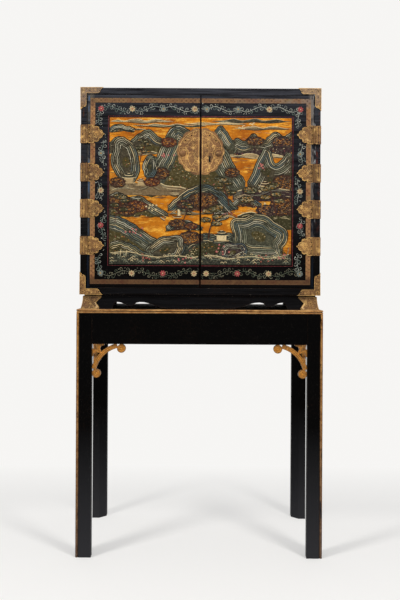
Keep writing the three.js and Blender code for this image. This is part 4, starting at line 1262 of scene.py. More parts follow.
# %% The landscape itself, from back to front
SCENERY = (
    (water_lines, -330, 300, 330, 532, 110),
    (mist, -330, -96, 522, 12, DUN, 0.4),
    (mist, -250, 20, 506, 9, TEAL, 1.2),
    (mist, 40, 334, 524, 12, STONE, 1.9),
    (mist, -60, 170, 514, 9, SAND, 3.1),
    (mist, 120, 334, 498, 11, DUN, 2.6),
    (mist, -334, -200, 492, 9, STONE, 4.0),
    (hill, [(-334, 446), (-300, 466), (-262, 452), (-226, 478), (-190, 492), (-158, 470), (-120, 452)],
     404, STONE, OLIVE, 6.0, 5, 2.2),
    (hill, [(96, 430), (130, 462), (158, 452), (194, 480), (230, 456), (270, 486), (304, 470),
     (334, 488)], 392, STONE, PLUM, 6.0, 6, 6.2),
    (hill, [(20, 440), (44, 476), (64, 504), (84, 500), (102, 474), (124, 446)], 418, TEAL, MOSS, 5.6,
     6, 8.8),
    (hill, [(-334, 498), (-306, 512), (-272, 506), (-240, 494)], 484, DEEP_TEAL, STONE, 5.0, 3, 5.2),
    (foliage, 200, 452, 30, 15, BARK, 1.9),
    (foliage, 296, 448, 34, 18, PLUM, 4.9),
    (mist, 84, 334, 396, 15, SAND, 0.7),
    (mist, -334, -150, 404, 14, DUN, 1.7),
    (water_lines, -330, 300, 330, 392, 70),
    (hill, [(-214, 262), (-196, 322), (-166, 384), (-142, 440), (-118, 486), (-92, 508), (-58, 500),
     (0, 462), (60, 448), (92, 420), (112, 384), (138, 340), (166, 306)], 250, TEAL, OLIVE, 6.6, 10,
     9.4),
    (blossoms, -132, 396, 14, 7, ROSE),
    (foliage, -150, 332, 34, 20, BARK, 3.3),
    (foliage, 116, 336, 26, 16, BARK, 5.3),
    (foliage, -116, 446, 26, 17, RUST, 7.3),
    (scholar_rock, -186, 356, 26, 40, -0.2, DEEP_TEAL, MOSS, 4.4, 5.6),
    (scholar_rock, -272, 372, 50, 84, 0.16, STONE, OLIVE, 5.6, 6.4),
    (leaning_tree, -222, 372, 74, 18, MOSS, 4.0, 4),
    (crane, 150, 496, 30, 0.25),
    (crane, 188, 510, 24, 0.1),
    (bank, [(-334, 292), (-284, 306), (-228, 296), (-180, 312), (-128, 288), (-70, 282), (-30, 268)],
     252, DUN, CREAM, 0.9, 6),
    (pavilion, -262, 298, 42, DEEP_TEAL, SAND),
    (pavilion, -218, 290, 28, RUST, SAND),
    (foliage, -304, 298, 28, 17, BARK, 1.4),
    (foliage, -176, 300, 26, 14, RUST, 2.4),
    (hill, [(172, 300), (194, 346), (214, 398), (236, 428), (256, 414), (272, 372), (296, 384),
     (318, 412), (334, 404)], 258, STONE, MOSS, 6.2, 9, 7.7),
    (blossoms, 226, 358, 13, 6, ROSE),
    (foliage, 306, 300, 40, 26, BARK, 5.6),
    (bank, [(118, 262), (160, 274), (214, 266), (262, 280), (334, 272)], 232, PLUM, CREAM, 3.9, 5),
    (pavilion, 236, 272, 40, BARK, SAND),
    (foliage, 182, 272, 24, 13, MOSS, 7.6),
    (water_lines, -330, 150, 330, 262, 90),
    (hill, [(-120, 214), (-84, 246), (-46, 274), (0, 292), (44, 286), (84, 262), (112, 232),
     (140, 206)], 196, DEEP_TEAL, BARK, 6.0, 7, 9.2),
    (foliage, 10, 234, 52, 26, BARK, 6.1),
    (foliage, -56, 220, 30, 16, PLUM, 3.1),
    (leaning_tree, 104, 214, 92, -20, MOSS, 2.1, 4),
    (hill, [(116, 224), (140, 240), (170, 246), (202, 236), (226, 222)], 212, STONE, BARK, 5.2, 3, 2.7),
    (foliage, 170, 238, 24, 12, MOSS, 5.5),
    (mist, -120, 70, 186, 9, DUN, 2.4),
    (boat, 232, 206, 24, 22),
    (hill, [(-334, 250), (-300, 264), (-262, 244), (-222, 250), (-184, 226), (-146, 204), (-118, 186)],
     176, STONE, OLIVE, 6.0, 5, 6.6),
    (foliage, -296, 226, 42, 26, BARK, 8.0),
    (foliage, -232, 210, 34, 20, RUST, 8.8),
    (foliage, -270, 196, 34, 18, BARK, 4.8),
    (blossoms, -188, 208, 18, 7, CREAM),
    (boat, -84, 172, 34, 30),
    (hill, [(-128, 136), (-98, 156), (-60, 164), (-22, 152), (10, 136)], 124, DEEP_TEAL, BARK, 5.2, 4,
     4.6),
    (foliage, -84, 150, 28, 14, BARK, 6.6),
    (foliage, -34, 140, 22, 11, RUST, 1.6),
    (leaning_tree, -62, 152, 64, 18, MOSS, 6.0, 4),
    (scholar_rock, 74, 178, 30, 17, 0.1, STONE, MOSS, 7.9, 5.2),
    (bridge, 56, 150, 156, 26),
    (bank, [(136, 178), (180, 192), (232, 184), (284, 200), (334, 194)], 128, MOSS, CREAM, 4.4, 6),
    (foliage, 300, 212, 46, 32, BARK, 3.8),
    (foliage, 244, 198, 36, 20, PLUM, 7.0),
    (leaning_tree, 276, 178, 104, -20, OLIVE, 1.1, 5),
    (hill, [(-334, 178), (-296, 172), (-252, 152), (-206, 120), (-160, 92), (-110, 78), (-50, 64)], 20,
     TEAL, OLIVE, 6.2, 8, 1.2),
    (leaning_tree, -312, 150, 92, 26, MOSS, 5.0, 4),
    (blossoms, -250, 118, 20, 8, ROSE),
    (hill, [(-60, 82), (-20, 104), (26, 116), (66, 108), (104, 116), (150, 96)], 24, DEEP_TEAL, MOSS,
     6.0, 5, 5.3),
    (foliage, -36, 96, 40, 22, BARK, 9.1),
    (leaning_tree, 30, 92, 108, 20, OLIVE, 7.5, 5),
    (pavilion, 78, 88, 44, DEEP_TEAL, CREAM),
    (scholar_rock, 214, 104, 104, 74, -0.42, TEAL, OLIVE, 6.4, 6.2),
    (scholar_rock, -128, 52, 74, 46, 0.32, STONE, MOSS, 3.2, 6.0),
    (scholar_rock, 118, 44, 50, 32, 0.3, PLUM, OLIVE, 8.4, 5.5),
    (blossoms, 70, 60, 22, 8, ROSE),
    (hill, [(-334, 74), (-296, 86), (-250, 72), (-210, 48), (-170, 34), (-130, 26)], -6, OLIVE, MOSS,
     6.0, 4, 4.1),
    (bank, [(-334, 40), (-270, 46), (-210, 34), (-150, 26), (-90, 32), (-30, 26), (40, 34), (110, 22),
     (180, 30), (250, 24), (334, 40)], -4, DEEP_TEAL, CREAM, 7.1, 1),
    (ripples, -334, 0, 334, 34, 12.0),
    (blossoms, -200, 22, 18, 7, CRIMSON),
    (blossoms, -56, 14, 16, 6, ROSE),
    (blossoms, 220, 16, 26, 8, CRIMSON),
    (blossoms, 300, 30, 14, 6, ROSE),
    (reeds, -326, -270, 26, 40),
    (reeds, 284, 330, 20, 46),
)
landscape = Picture()
for element, *given in SCENERY:
    element(landscape, *given)
print("landscape:", len(landscape.layers), "layers,", len(landscape.lines), "lines")

# %% Laying the landscape on both doors
PANEL_HALF_W = 332.5
PANEL_LOW_Z = 1070.0
PANEL_HIGH_Z = 1606.0
MEETING_EDGE = MEETING_X / MM + 1.5
PLATE_X = 0.0
plate_low, plate_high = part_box("lock_plate_right")
PLATE_Z = (plate_low.z + plate_high.z) / 2 / MM
PLATE_ROOM_R = plate_high.x / MM - 4.5
KEYHOLE_X = 33.0
KEYHOLE_Z = PLATE_Z - 28.0
RING_SIDES = 56
KEYHOLE_HALF_W = 7.0
KEYHOLE_HALF_H = 15.0
SET_IN = 0.02


def lay_picture(picture, name, body, low_x, high_x):
    """Builds the part of the picture that lies on one door."""
    plate_z, keyhole_z = PLATE_Z - PANEL_LOW_Z, KEYHOLE_Z - PANEL_LOW_Z
    plate = ring_outline(PLATE_X, plate_z, PLATE_ROOM_R, RING_SIDES)
    plate_flat_r = PLATE_ROOM_R * math.cos(math.pi / RING_SIDES)
    high_z = PANEL_HIGH_Z - PANEL_LOW_Z
    room = box_outline(low_x, 0.0, high_x, high_z)

    def clear(point, margin=0.0):
        x, z = point
        away = math.hypot(x - PLATE_X, z - plate_z) > plate_flat_r + margin
        return away and low_x + margin < x < high_x - margin and margin < z < high_z - margin

    pushed = Relief(DOOR_FACE_Y)
    pushed.slab(room, 0.0, GROUND_RISE, GOLD)
    if low_x > 0:
        shadow = box_outline(KEYHOLE_X - KEYHOLE_HALF_W, keyhole_z - KEYHOLE_HALF_H,
                             KEYHOLE_X + KEYHOLE_HALF_W, keyhole_z + KEYHOLE_HALF_H)
        pushed.slab(shadow, GROUND_RISE * 0.5, GROUND_RISE * 1.5, COAL)
    for outline, colour, rise, (x0, _, x1, _) in picture.layers:
        if x1 > low_x and x0 < high_x:
            pushed.slab(outline, GROUND_RISE * 0.5, rise, colour, clear, (room, plate))
    for points, width, colour, height, taper, order, rise in picture.lines:
        for run in runs(points, lambda p: clear(p, width / 2) and picture.shows(p, order)):
            pushed.ridge(run, width, rise - SET_IN, rise + height, colour, taper)
    for x, z, radius, colour, height, order, rise in picture.dots:
        if clear((x, z), radius) and picture.shows((x, z), order):
            pushed.bead(x, z, radius, rise - SET_IN, rise + height, colour)
    pushed.verts = [(x, y, z + PANEL_LOW_Z * MM) for x, y, z in pushed.verts]
    piece = pushed.make(name, picture_paint)
    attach(piece, body)


lay_picture(landscape, "landscape_left", "left_door", -PANEL_HALF_W, -MEETING_EDGE)
lay_picture(landscape, "landscape_right", "right_door", MEETING_EDGE, PANEL_HALF_W)
print("picture laid on both doors")

# %% [markdown]
# ## The flowering border
#
# Round the picture runs a black border with a winding vine, curled tendrils, leaves and flowers,
# then a band of brown gilding. Both run round the pair of doors, so each door has three sides of
# them. The flower is modelled once with edit-mode tools, coloured three ways and copied; the vine
# is drawn with the relief tools and stops where a hinge leaf lies over it.

# %% Places of the border
EDGE_W = 12.0
BAND_W = 16.5
LINE_ROOM = 9.8
BAND_RISE = 0.14
BAND_LINE_INSET = 1.0
BAND_STEPS = 200
DIAPER_TURNS = math.pi / (8.2 * MM)
OUTER_X = DOOR_OUTER_X / MM
BAND_X = OUTER_X - EDGE_W
VINE_X = (BAND_X - BAND_W + PANEL_HALF_W + LINE_ROOM) / 2
BAND_HIGH_Z = DOOR_HIGH_Z / MM - EDGE_W
BAND_LOW_Z = DOOR_LOW_Z / MM + EDGE_W
VINE_HIGH_Z = (BAND_HIGH_Z - BAND_W + PANEL_HIGH_Z + LINE_ROOM) / 2
VINE_LOW_Z = (BAND_LOW_Z + BAND_W + PANEL_LOW_Z - LINE_ROOM) / 2
HINGE_COUNT = 4
LEAF_ROOM = 1.6
hinge_boxes = [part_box(f"hinge_right_{i + 1}_door_leaf") for i in range(HINGE_COUNT)]


def under_hinge(point):
    """True where a hinge leaf lies over the door, for either door."""
    x, z = abs(point[0]), point[1]
    for low, high in hinge_boxes:
        tip, middle = low.x / MM - LEAF_ROOM, (low.z + high.z) / 2 / MM
        half = (high.z - low.z) / 2 / MM + LEAF_ROOM
        across = max(0.0, (tip + half - x) / half)
        if x > tip and across ** 2 + ((z - middle) / half) ** 2 < 1.0:
            return True
    return False


# %% The brown gilt band
BAND_LEAF = ink(122, 84, 52)
BAND_BRIGHT = ink(158, 118, 76)
BAND_UNDER = ink(76, 38, 28)
BAND_RUDDY = ink(112, 56, 38)
BAND_OLIVE = ink(122, 108, 62)
BAND_DIAPER = ink(58, 34, 22)
BAND_FOOT = ink(44, 22, 8)
BAND_HEAD = ink(62, 50, 40)
BAND_GREY = ink(112, 104, 98)
border_gilt = gilt_finish("border_gilt", BAND_LEAF, BAND_BRIGHT, BAND_UNDER, 0.12, 0.5)
tree, shader, colour, spot = reopen(border_gilt)
here = object_place(tree)
upright = object_place(tree, (1.0, 1.0, 1.6))
colour = tint(patches(here, 17.0, 0.5, 0.68, 5.0, 0.62), colour, BAND_RUDDY, 0.65)
colour = tint(patches(upright, 29.0, 0.55, 0.7, 4.0, 0.6), colour, BAND_OLIVE, 0.5)
low_down = threshold(spot[2], DOOR_LOW_Z + 0.048, DOOR_LOW_Z + 0.03)
colour = tint(low_down, colour, BAND_FOOT, 0.74)
high_up = threshold(spot[2], DOOR_HIGH_Z - 0.05, DOOR_HIGH_Z - 0.034)
colour = tint(high_up, colour, BAND_HEAD, 0.42)
to_right = times(threshold(spot[0], 0.02, 0.36), high_up)
colour = tint(times(patches(here, 24.0, 0.4, 0.6, 4.0, 0.6), to_right), colour, BAND_GREY, 0.65)
across = reckon("SINE", times(spot[0], DIAPER_TURNS))
along = reckon("SINE", times(spot[2], DIAPER_TURNS))
diaper = times(threshold(times(across, along), 0.18, 0.42), patches(here, 70.0, 0.42, 0.56, 4.0))
plug(tint(diaper, colour, BAND_DIAPER, 0.6), shader.inputs["Base Color"])
shader.inputs["Specular IOR Level"].default_value = 0.18


def three_sides(x0, x1, low_z, high_z, near_x, width):
    """The outline of a band along a door's top, outer side and bottom."""
    return [
        (near_x, high_z), (near_x, high_z - width), (x0, high_z - width), (x0, low_z + width),
        (near_x, low_z + width), (near_x, low_z), (x1, low_z), (x1, high_z),
    ][::-1]


def mirrored(points, side):
    return [(side * x, z) for x, z in points]


for side, word in SIDES:
    band = Relief(DOOR_FACE_Y)
    outline = three_sides(BAND_X - BAND_W, BAND_X, BAND_LOW_Z, BAND_HIGH_Z, MEETING_EDGE, BAND_W)
    band.slab(mirrored(outline, side), 0.0, BAND_RISE, GOLD)
    for inset in (BAND_LINE_INSET, BAND_W - BAND_LINE_INSET):
        x, low_z, high_z = BAND_X - inset, BAND_LOW_Z + inset, BAND_HIGH_Z - inset
        down = [(x, high_z + (low_z - high_z) * i / BAND_STEPS) for i in range(BAND_STEPS + 1)]
        line = [(MEETING_EDGE, high_z), *down, (MEETING_EDGE, low_z)]
        for run in runs(mirrored(line, side), lambda p: not under_hinge(p)):
            band.ridge(run, 1.6, BAND_RISE - SET_IN, 0.5, GOLD, False)
    piece = band.make(f"border_band_{word}", border_gilt)
    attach(piece, f"{word}_door")

# %% One flower, shaped in edit mode
FLOWER_R = 11.5 * MM
FLOWER_PETALS = 8
PETAL_SHAPE = (1.0, 0.88, 0.58, 0.88)
HEART_STEPS = ((0.6, 0.0), (0.9, 0.3), (0.55, 0.1), (0.8, 0.35))


def edit(piece, mode="FACE", everything=True):
    """Opens the piece in edit mode, with everything selected or with what was chosen before."""
    bpy.ops.object.select_all(action="DESELECT")
    piece.select_set(True)
    bpy.context.view_layer.objects.active = piece
    bpy.ops.object.mode_set(mode="EDIT")
    bpy.ops.mesh.select_mode(type=mode)
    if everything:
        bpy.ops.mesh.select_all(action="SELECT")


def leave_edit():
    bpy.ops.object.mode_set(mode="OBJECT")


bpy.ops.object.select_all(action="DESELECT")
bpy.ops.mesh.primitive_circle_add(
    vertices=FLOWER_PETALS * len(PETAL_SHAPE), radius=FLOWER_R, fill_type="NGON",
    rotation=(math.pi / 2, 0.0, 0.0),
)
flower = bpy.context.object
flower.name = "flower_pattern"
bpy.ops.object.transform_apply(rotation=True)
for i, vertex in enumerate(flower.data.vertices):
    vertex.co *= PETAL_SHAPE[i % len(PETAL_SHAPE)]
edit(flower)
bpy.ops.mesh.extrude_region_move(TRANSFORM_OT_translate={"value": (0.0, -0.3 * MM, 0.0)})
bpy.ops.mesh.inset(thickness=1.4 * MM, depth=0.12 * MM)
for size, rise in HEART_STEPS:
    bpy.ops.mesh.extrude_region_move()
    bpy.ops.transform.resize(value=(size, 1.0, size))
    bpy.ops.transform.translate(value=(0.0, -rise * MM, 0.0))
leave_edit()
print("flower:", len(flower.data.polygons), "faces")

FLOWER_INKS = {
    "cream": (paint(172, 150, 112), paint(148, 118, 78), ROSE),
    "rose": (paint(146, 66, 66), CRIMSON, CREAM),
    "grey": (paint(104, 110, 104), PALE_TEAL, SOFT_GOLD),
}


def paint_flower(mesh, inks):
    colours = mesh.color_attributes.new("ink", "FLOAT_COLOR", "CORNER")
    for polygon in mesh.polygons:
        reach = math.hypot(polygon.center.x, polygon.center.z) / FLOWER_R
        colour = inks[0] if reach > 0.44 else inks[1] if reach > 0.2 else inks[2]
        for loop in polygon.loop_indices:
            colours.data[loop].color = colour


def joined(pieces, name):
    bpy.ops.object.select_all(action="DESELECT")
    for piece in pieces:
        piece.select_set(True)
    bpy.context.view_layer.objects.active = pieces[0]
    bpy.ops.object.join()
    pieces[0].name = name
    return pieces[0]


def copies(pattern, name, places, material):
    """Copies of the pattern's mesh at the given matrices, joined into one piece."""
    made = []
    for place in places:
        mesh = pattern.data.copy()
        mesh.transform(place)
        mesh.materials.clear()
        mesh.materials.append(material)
        made.append(add_piece(name, mesh))
    return joined(made, name)


painted = {}
for colour, inks in FLOWER_INKS.items():
    painted[colour] = add_piece(f"flower_{colour}", flower.data.copy())
    paint_flower(painted[colour].data, inks)

# %% Vine, tendrils and leaves
VINE_INKS = [paint(138, 144, 134), paint(168, 170, 158), paint(104, 120, 110)]
LOW_VINE_INKS = [paint(104, 104, 86), paint(128, 124, 102), paint(80, 88, 72)]
VINE_RISE = 0.42
VINE_ROOM = 20.5
VINE_SWAY = 9.5
VINE_PAST = 40.0
CURL_SPACING = 9.6
LEAF_SHAPE = ((0.0, 0.0), (0.35, 0.24), (0.7, 0.2), (1.0, 0.0), (0.7, -0.16), (0.35, -0.2))
LEAF_RISE = 0.3
FLOWER_SPACING = 114.0
FLOWER_TURN = 0.39
SIDE_FLOWERS_Z = (1475.0, 1339.0, 1212.0)
RED_LINE = paint(98, 34, 40)
RED_LINE_OUT = 5.2


def spiral(x, z, radius, turn, turns, way):
    """A tendril that winds inward from (x, z)."""
    return coil(*polar(x, z, radius, turn), radius, turn + math.pi, turns, way, 0.8, 16)


def add_leaf(relief, x, z, turn, size, colour, low=0.0):
    outline = [turned(x, z, size * u, size * v, turn) for u, v in LEAF_SHAPE]
    relief.slab(outline[::-1], low, low + LEAF_RISE, colour)


def vine(relief, start, end, keep, phase):
    """A stem between two flowers, with tendrils and leaves on both sides."""
    dx, dz = end[0] - start[0], end[1] - start[1]
    span = math.hypot(dx, dz)
    ux, uz = dx / span, dz / span
    sway = VINE_SWAY * phase

    def spot(share, off):
        return start[0] + dx * share - uz * off, start[1] + dz * share + ux * off

    stem = smooth_line([spot(0, 0), spot(0.26, sway), spot(0.5, 0), spot(0.74, -sway), spot(1, 0)], 7)
    way = math.atan2(uz, ux)
    pieces = [(stem, 1.6)]
    inks = LOW_VINE_INKS if max(start[1], end[1]) < VINE_LOW_Z + 1.0 else VINE_INKS
    count = max(4, int(span / CURL_SPACING))
    for i in range(count):
        share = (i + 0.5) / count
        x, z = stem[int(share * (len(stem) - 1))]
        side = 1 if i % 2 else -1
        radius = rng.uniform(6.0, 8.6)
        pieces.append((spiral(x, z, radius, way + side * rng.uniform(1.0, 1.9), 1.05, side), 1.25))
    for line, width in pieces:
        colour = rng.choice(inks)
        for run in runs(line, keep):
            relief.ridge(run, width, 0.0, VINE_RISE, colour)
    for i in range(count):
        share = (i + rng.random()) / count
        x, z = stem[int(share * (len(stem) - 1))]
        side = -1 if i % 2 else 1
        x -= uz * side * rng.uniform(2, 9)
        z += ux * side * rng.uniform(2, 9)
        if keep((x, z)):
            turn = way + side * rng.uniform(0.2, 1.4)
            add_leaf(relief, x, z, turn, rng.uniform(4, 6), rng.choice(inks))


def lay_border(side, word, colours):
    """The vine and its flowers along three sides of one door."""
    relief = Relief(DOOR_FACE_Y)
    low_x = MEETING_EDGE + 1.0

    def keep(point):
        x, z = side * point[0], point[1]
        in_side = x > VINE_X - VINE_ROOM
        in_top = z > VINE_HIGH_Z - VINE_ROOM or z < VINE_LOW_Z + VINE_ROOM
        inner = low_x < x < VINE_X + VINE_ROOM and VINE_LOW_Z - VINE_ROOM < z < VINE_HIGH_Z + VINE_ROOM
        return inner and (in_side or in_top) and not under_hinge(point)

    along_top = [(VINE_X - i * FLOWER_SPACING, VINE_HIGH_Z) for i in (3, 2, 1)]
    down = [(VINE_X, z) for z in (VINE_HIGH_Z, *SIDE_FLOWERS_Z, VINE_LOW_Z)]
    along_low = [(VINE_X - i * FLOWER_SPACING, VINE_LOW_Z) for i in (1, 2, 3)]
    spots = mirrored([*along_top, *down, *along_low], side)
    ends = mirrored([(-VINE_PAST, VINE_HIGH_Z), (-VINE_PAST, VINE_LOW_Z)], side)
    path = [ends[0], *spots, ends[1]]
    for i, (start, end) in enumerate(zip(path, path[1:])):
        vine(relief, start, end, keep, 1 if i % 2 else -1)
    line_x = PANEL_HALF_W + RED_LINE_OUT
    low_z, high_z = PANEL_LOW_Z - RED_LINE_OUT, PANEL_HIGH_Z + RED_LINE_OUT
    line = mirrored([(low_x, high_z), (line_x, high_z), (line_x, low_z), (low_x, low_z)], side)
    relief.ridge(line, 2.2, 0.0, 0.4, RED_LINE, False)
    piece = relief.make(f"border_vine_{word}", picture_paint)
    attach(piece, f"{word}_door")
    made = []
    for i, (x, z) in enumerate(spots):
        if not under_hinge((x, z)) and side * x > low_x + FLOWER_R / MM:
            spot = Matrix.Translation((x * MM, DOOR_FACE_Y, z * MM))
            place = spot @ Matrix.Rotation(i * FLOWER_TURN, 4, "Y")
            made.append(copies(painted[colours[i]], f"flower_{word}_{i}", [place], picture_paint))
    blooms = joined(made, f"border_flowers_{word}")
    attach(blooms, f"{word}_door")


lay_border(-1, "left", "cream grey cream rose grey cream rose grey cream rose cream".split())
lay_border(1, "right", "grey grey cream rose grey cream rose grey cream rose cream".split())
print("border laid")

# %% [markdown]
# ## Brass work
#
# A cast mount has a raised rim, engraved scrolls and domed nails. The rim is made from the model's
# own plate: a copy is merged, its front faces are inset, the middle is deleted and the ring that is
# left gets a wall. So it follows every lobe of the outline, the keyhole and the bosses. A nail is
# half a sphere, bisected and filled, copied to each place.

# %% Raised rims from the model's plates
RIM_RISE = 0.55 * MM
RIM_W = 1.5 * MM
LOCK_RIM_W = 1.9 * MM
FOOT_RIM_W = 1.6 * MM
SAME_POINT = 0.005 * MM
FLAT = 0.99
FLARED = 0.9
FRONT = (0.0, -1.0, 0.0)


def facing_copy(name, node, direction, least):
    """A merged copy of a model piece, keeping the outer faces that look in one direction."""
    piece = add_piece(name, nodes[node].data.copy())
    edit(piece)
    bpy.ops.mesh.remove_doubles(threshold=SAME_POINT)
    bpy.ops.mesh.select_all(action="DESELECT")
    leave_edit()
    way = Vector(direction)
    facing = [face for face in piece.data.polygons if face.normal.dot(way) > least]
    farthest = max(face.center.dot(way) for face in facing)
    room = 0.05 * MM if least == FLAT else 9.0 * MM
    for face in piece.data.polygons:
        outer = face.normal.dot(way) > least and face.center.dot(way) > farthest - room
        face.select = not outer
    edit(piece, everything=False)
    bpy.ops.mesh.delete(type="FACE")
    bpy.ops.mesh.select_all(action="SELECT")
    bpy.ops.mesh.dissolve_limited(angle_limit=0.01)
    leave_edit()
    return piece


def raised_rim(name, node, direction, width, least=FLAT):
    """A raised ring just inside the outline of one face of a plate."""
    piece = facing_copy(name, node, direction, least)
    edit(piece)
    bpy.ops.mesh.inset(thickness=width, depth=0.0)
    bpy.ops.mesh.delete(type="FACE")
    leave_edit()
    wall = piece.modifiers.new("wall", "SOLIDIFY")
    wall.thickness = RIM_RISE
    wall.offset = 1.0
    bpy.ops.object.modifier_apply(modifier="wall")
    piece.data.materials.clear()
    piece.data.materials.append(plain_brass)
    return piece


def settle(piece, body):
    """Turns the faces outward and lets the piece ride its body."""
    edit(piece)
    bpy.ops.mesh.normals_make_consistent(inside=False)
    leave_edit()
    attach(piece, body)


for side, word in SIDES:
    rim = raised_rim(f"lock_plate_rim_{word}", f"lock_plate_{word}", FRONT, LOCK_RIM_W)
    rim.data.materials[0] = lock_brass
    settle(rim, f"{word}_door")
    leaves = [
        raised_rim(f"leaf_rim_{word}_{i}", f"hinge_{word}_{i + 1}_door_leaf", FRONT, RIM_W)
        for i in range(HINGE_COUNT)
    ]
    settle(joined(leaves, f"hinge_leaf_rims_{word}"), f"{word}_door")
    mounts = []
    for level in ("bottom", "top"):
        node = f"corner_mount_{level}_{word}"
        mounts.append(raised_rim(f"{node}_front", node, FRONT, RIM_W))
        mounts.append(raised_rim(f"{node}_side", node, (side, 0.0, 0.0), RIM_W))
    for way, place in ENDS:
        node = f"foot_mount_{place}_{word}"
        mounts.append(raised_rim(f"{node}_a", node, (0.0, way, 0.0), FOOT_RIM_W, FLARED))
        mounts.append(raised_rim(f"{node}_b", node, (side, 0.0, 0.0), FOOT_RIM_W, FLARED))
    settle(joined(mounts, f"case_mount_rims_{word}"), "root")
print("rims made")

# %% Domed nails
NAIL_R = 2.7 * MM
NAIL_FLATTEN = 0.62
NAIL_CUT = 0.2 * MM

bpy.ops.object.select_all(action="DESELECT")
bpy.ops.mesh.primitive_uv_sphere_add(segments=10, ring_count=8, radius=NAIL_R)
nail = bpy.context.object
nail.name = "nail_pattern"
edit(nail)
bpy.ops.mesh.bisect(plane_co=(0, 0, NAIL_CUT), plane_no=(0, 0, 1), use_fill=True, clear_inner=True)
bpy.ops.mesh.select_all(action="SELECT")
bpy.ops.transform.resize(value=(1.0, 1.0, NAIL_FLATTEN))
leave_edit()


def nail_at(x, y, z, way):
    return Matrix.Translation((x, y, z)) @ Vector(way).to_track_quat("Z", "Y").to_matrix().to_4x4()


def drive(name, body, places):
    piece = copies(nail, name, places, nail_brass)
    for polygon in piece.data.polygons:
        polygon.use_smooth = True
    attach(piece, body)


def end_of(way, low, high):
    """The low end for a negative way, the high end for a positive one."""
    return low if way < 0 else high


def corner_of(mount, side, up):
    """The outer front corner of a corner mount."""
    low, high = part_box(mount)
    return end_of(side, low.x, high.x), low.y, end_of(-up, low.z, high.z)


# Places of the nails, in millimetres: out from the hinge's axis or a mount's corner, and up.
PLATE_T = 1.6
LEVELS = ((1, "bottom"), (-1, "top"))
LEAF_NAILS = [(10, 26), (10, -26), (37, 19), (37, -19), (57, 0)]
FRAME_NAILS = [(-15.5, 27), (-15.5, 0), (-15.5, -27)]
WRAP_NAILS = [(10, 26), (10, -26), (22, 14), (22, -14), (28, 0)]
MOUNT_NAILS = [(9, 9), (9, 31), (31, 9), (9, 69), (69, 9)]
PLATE_FACE = DOOR_FACE_Y - PLATE_T * MM
hinge_axis_x = frame["joints"][1]["pos_m"][0]
for side, word in SIDES:
    on_door, on_case = [], []
    outward = (side, 0, 0)
    for i in range(HINGE_COUNT):
        low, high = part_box(f"hinge_{word}_{i + 1}_door_leaf")
        edge_x = end_of(side, *(corner.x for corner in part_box(f"hinge_{word}_{i + 1}_frame_leaf")))
        middle = (low.z + high.z) / 2
        for nails, places in ((LEAF_NAILS, on_door), (FRAME_NAILS, on_case)):
            for u, v in nails:
                places.append(nail_at(side * (hinge_axis_x - u * MM), PLATE_FACE, middle + v * MM, FRONT))
        for u, v in WRAP_NAILS:
            on_case.append(nail_at(edge_x, DOOR_FACE_Y + u * MM, middle + v * MM, outward))
    for up, level in LEVELS:
        x, y, z = corner_of(f"corner_mount_{level}_{word}", side, up)
        for u, v in MOUNT_NAILS:
            inward, nail_z = (u + PLATE_T) * MM, z + up * (v + PLATE_T) * MM
            on_case.append(nail_at(x - side * inward, y, nail_z, FRONT))
            on_case.append(nail_at(x, y + inward, nail_z, outward))
    drive(f"hinge_nails_{word}", f"{word}_door", on_door)
    drive(f"case_nails_{word}", "root", on_case)
print("nails driven")

# %% [markdown]
# The plates are chased: rings, flowers and scrolls stand out from the dark ground. Small dark discs
# along the edges stand for holes in the plates: painted shade. Each pattern is drawn once in its own
# plane, then turned and mirrored to every plate of its kind. The lock plate has petals round each boss,
# a shield round the keyhole and scrolls that branch from its foot.

# %% Chasing on the lock plate
BOSS_X = 66.0
BOSS_Z = PLATE_Z - 7.0
PLATE_R = plate_high.x / MM
CHASE_DEPTH = -0.1
CHASE_RISE = 0.55
HOLE_RISE = 0.05
LOCK_EDGE = MEETING_EDGE + 2.0
LOCK_RINGS = ((PLATE_R - 9.5, 1.8), (PLATE_R * 0.6, 1.8), (PLATE_R * 0.33, 1.6))
BOSS_RINGS = (14.8, 23.0)
LOCK_HOLES = 36
LOCK_HOLES_R = PLATE_R - 12.6
# The rows are out from the meeting edge and up from the plate's middle, in millimetres, then the
# radius and the petals of a flower, or the radius, first angle and way of a scroll.
LOCK_FLOWERS = ((33, 58, 13, 7), (30, -68, 12, 6), (24, 20, 12, 7), (56, 40, 11, 6), (62, -46, 10, 6))
LOCK_SCROLLS = (
    (13, -70, 9, 0.3, 1), (12, -44, 8, 1.0, -1), (12, 70, 9, -0.4, -1), (48, -60, 8, 0.8, 1),
    (13, 44, 9, 0.2, 1), (44, 12, 8, 0.6, -1), (12, -8, 7, 0.0, 1), (48, 62, 8, 2.0, -1),
    (30, 38, 7, 1.8, 1), (12, -26, 7, 0.4, 1), (54, -30, 6, 2.0, 1),
)
LOCK_SHIELD = ((22, -8), (20, -30), (33, -52), (46, -30), (44, -8), (33, -2), (22, -8))
# Dark discs that stand for the holes in the plates: painted shade.
hole_shade, tree, shader = start_material("painted_hole_shade")
shader.inputs["Base Color"].default_value = ink(8, 6, 5)
shader.inputs["Roughness"].default_value = 0.9
shader.inputs["Specular IOR Level"].default_value = 0.05


def flower_lines(x, z, radius, petals, turn=0.0):
    """Closed petal outlines round a point."""
    lines = []
    for k in range(petals):
        angle = turn + 2 * math.pi * k / petals
        middle = polar(x, z, radius * 0.66, angle)
        lines.append(closed(blob(*middle, radius * 0.34, radius * 0.2, angle, sides=12)))
    return lines


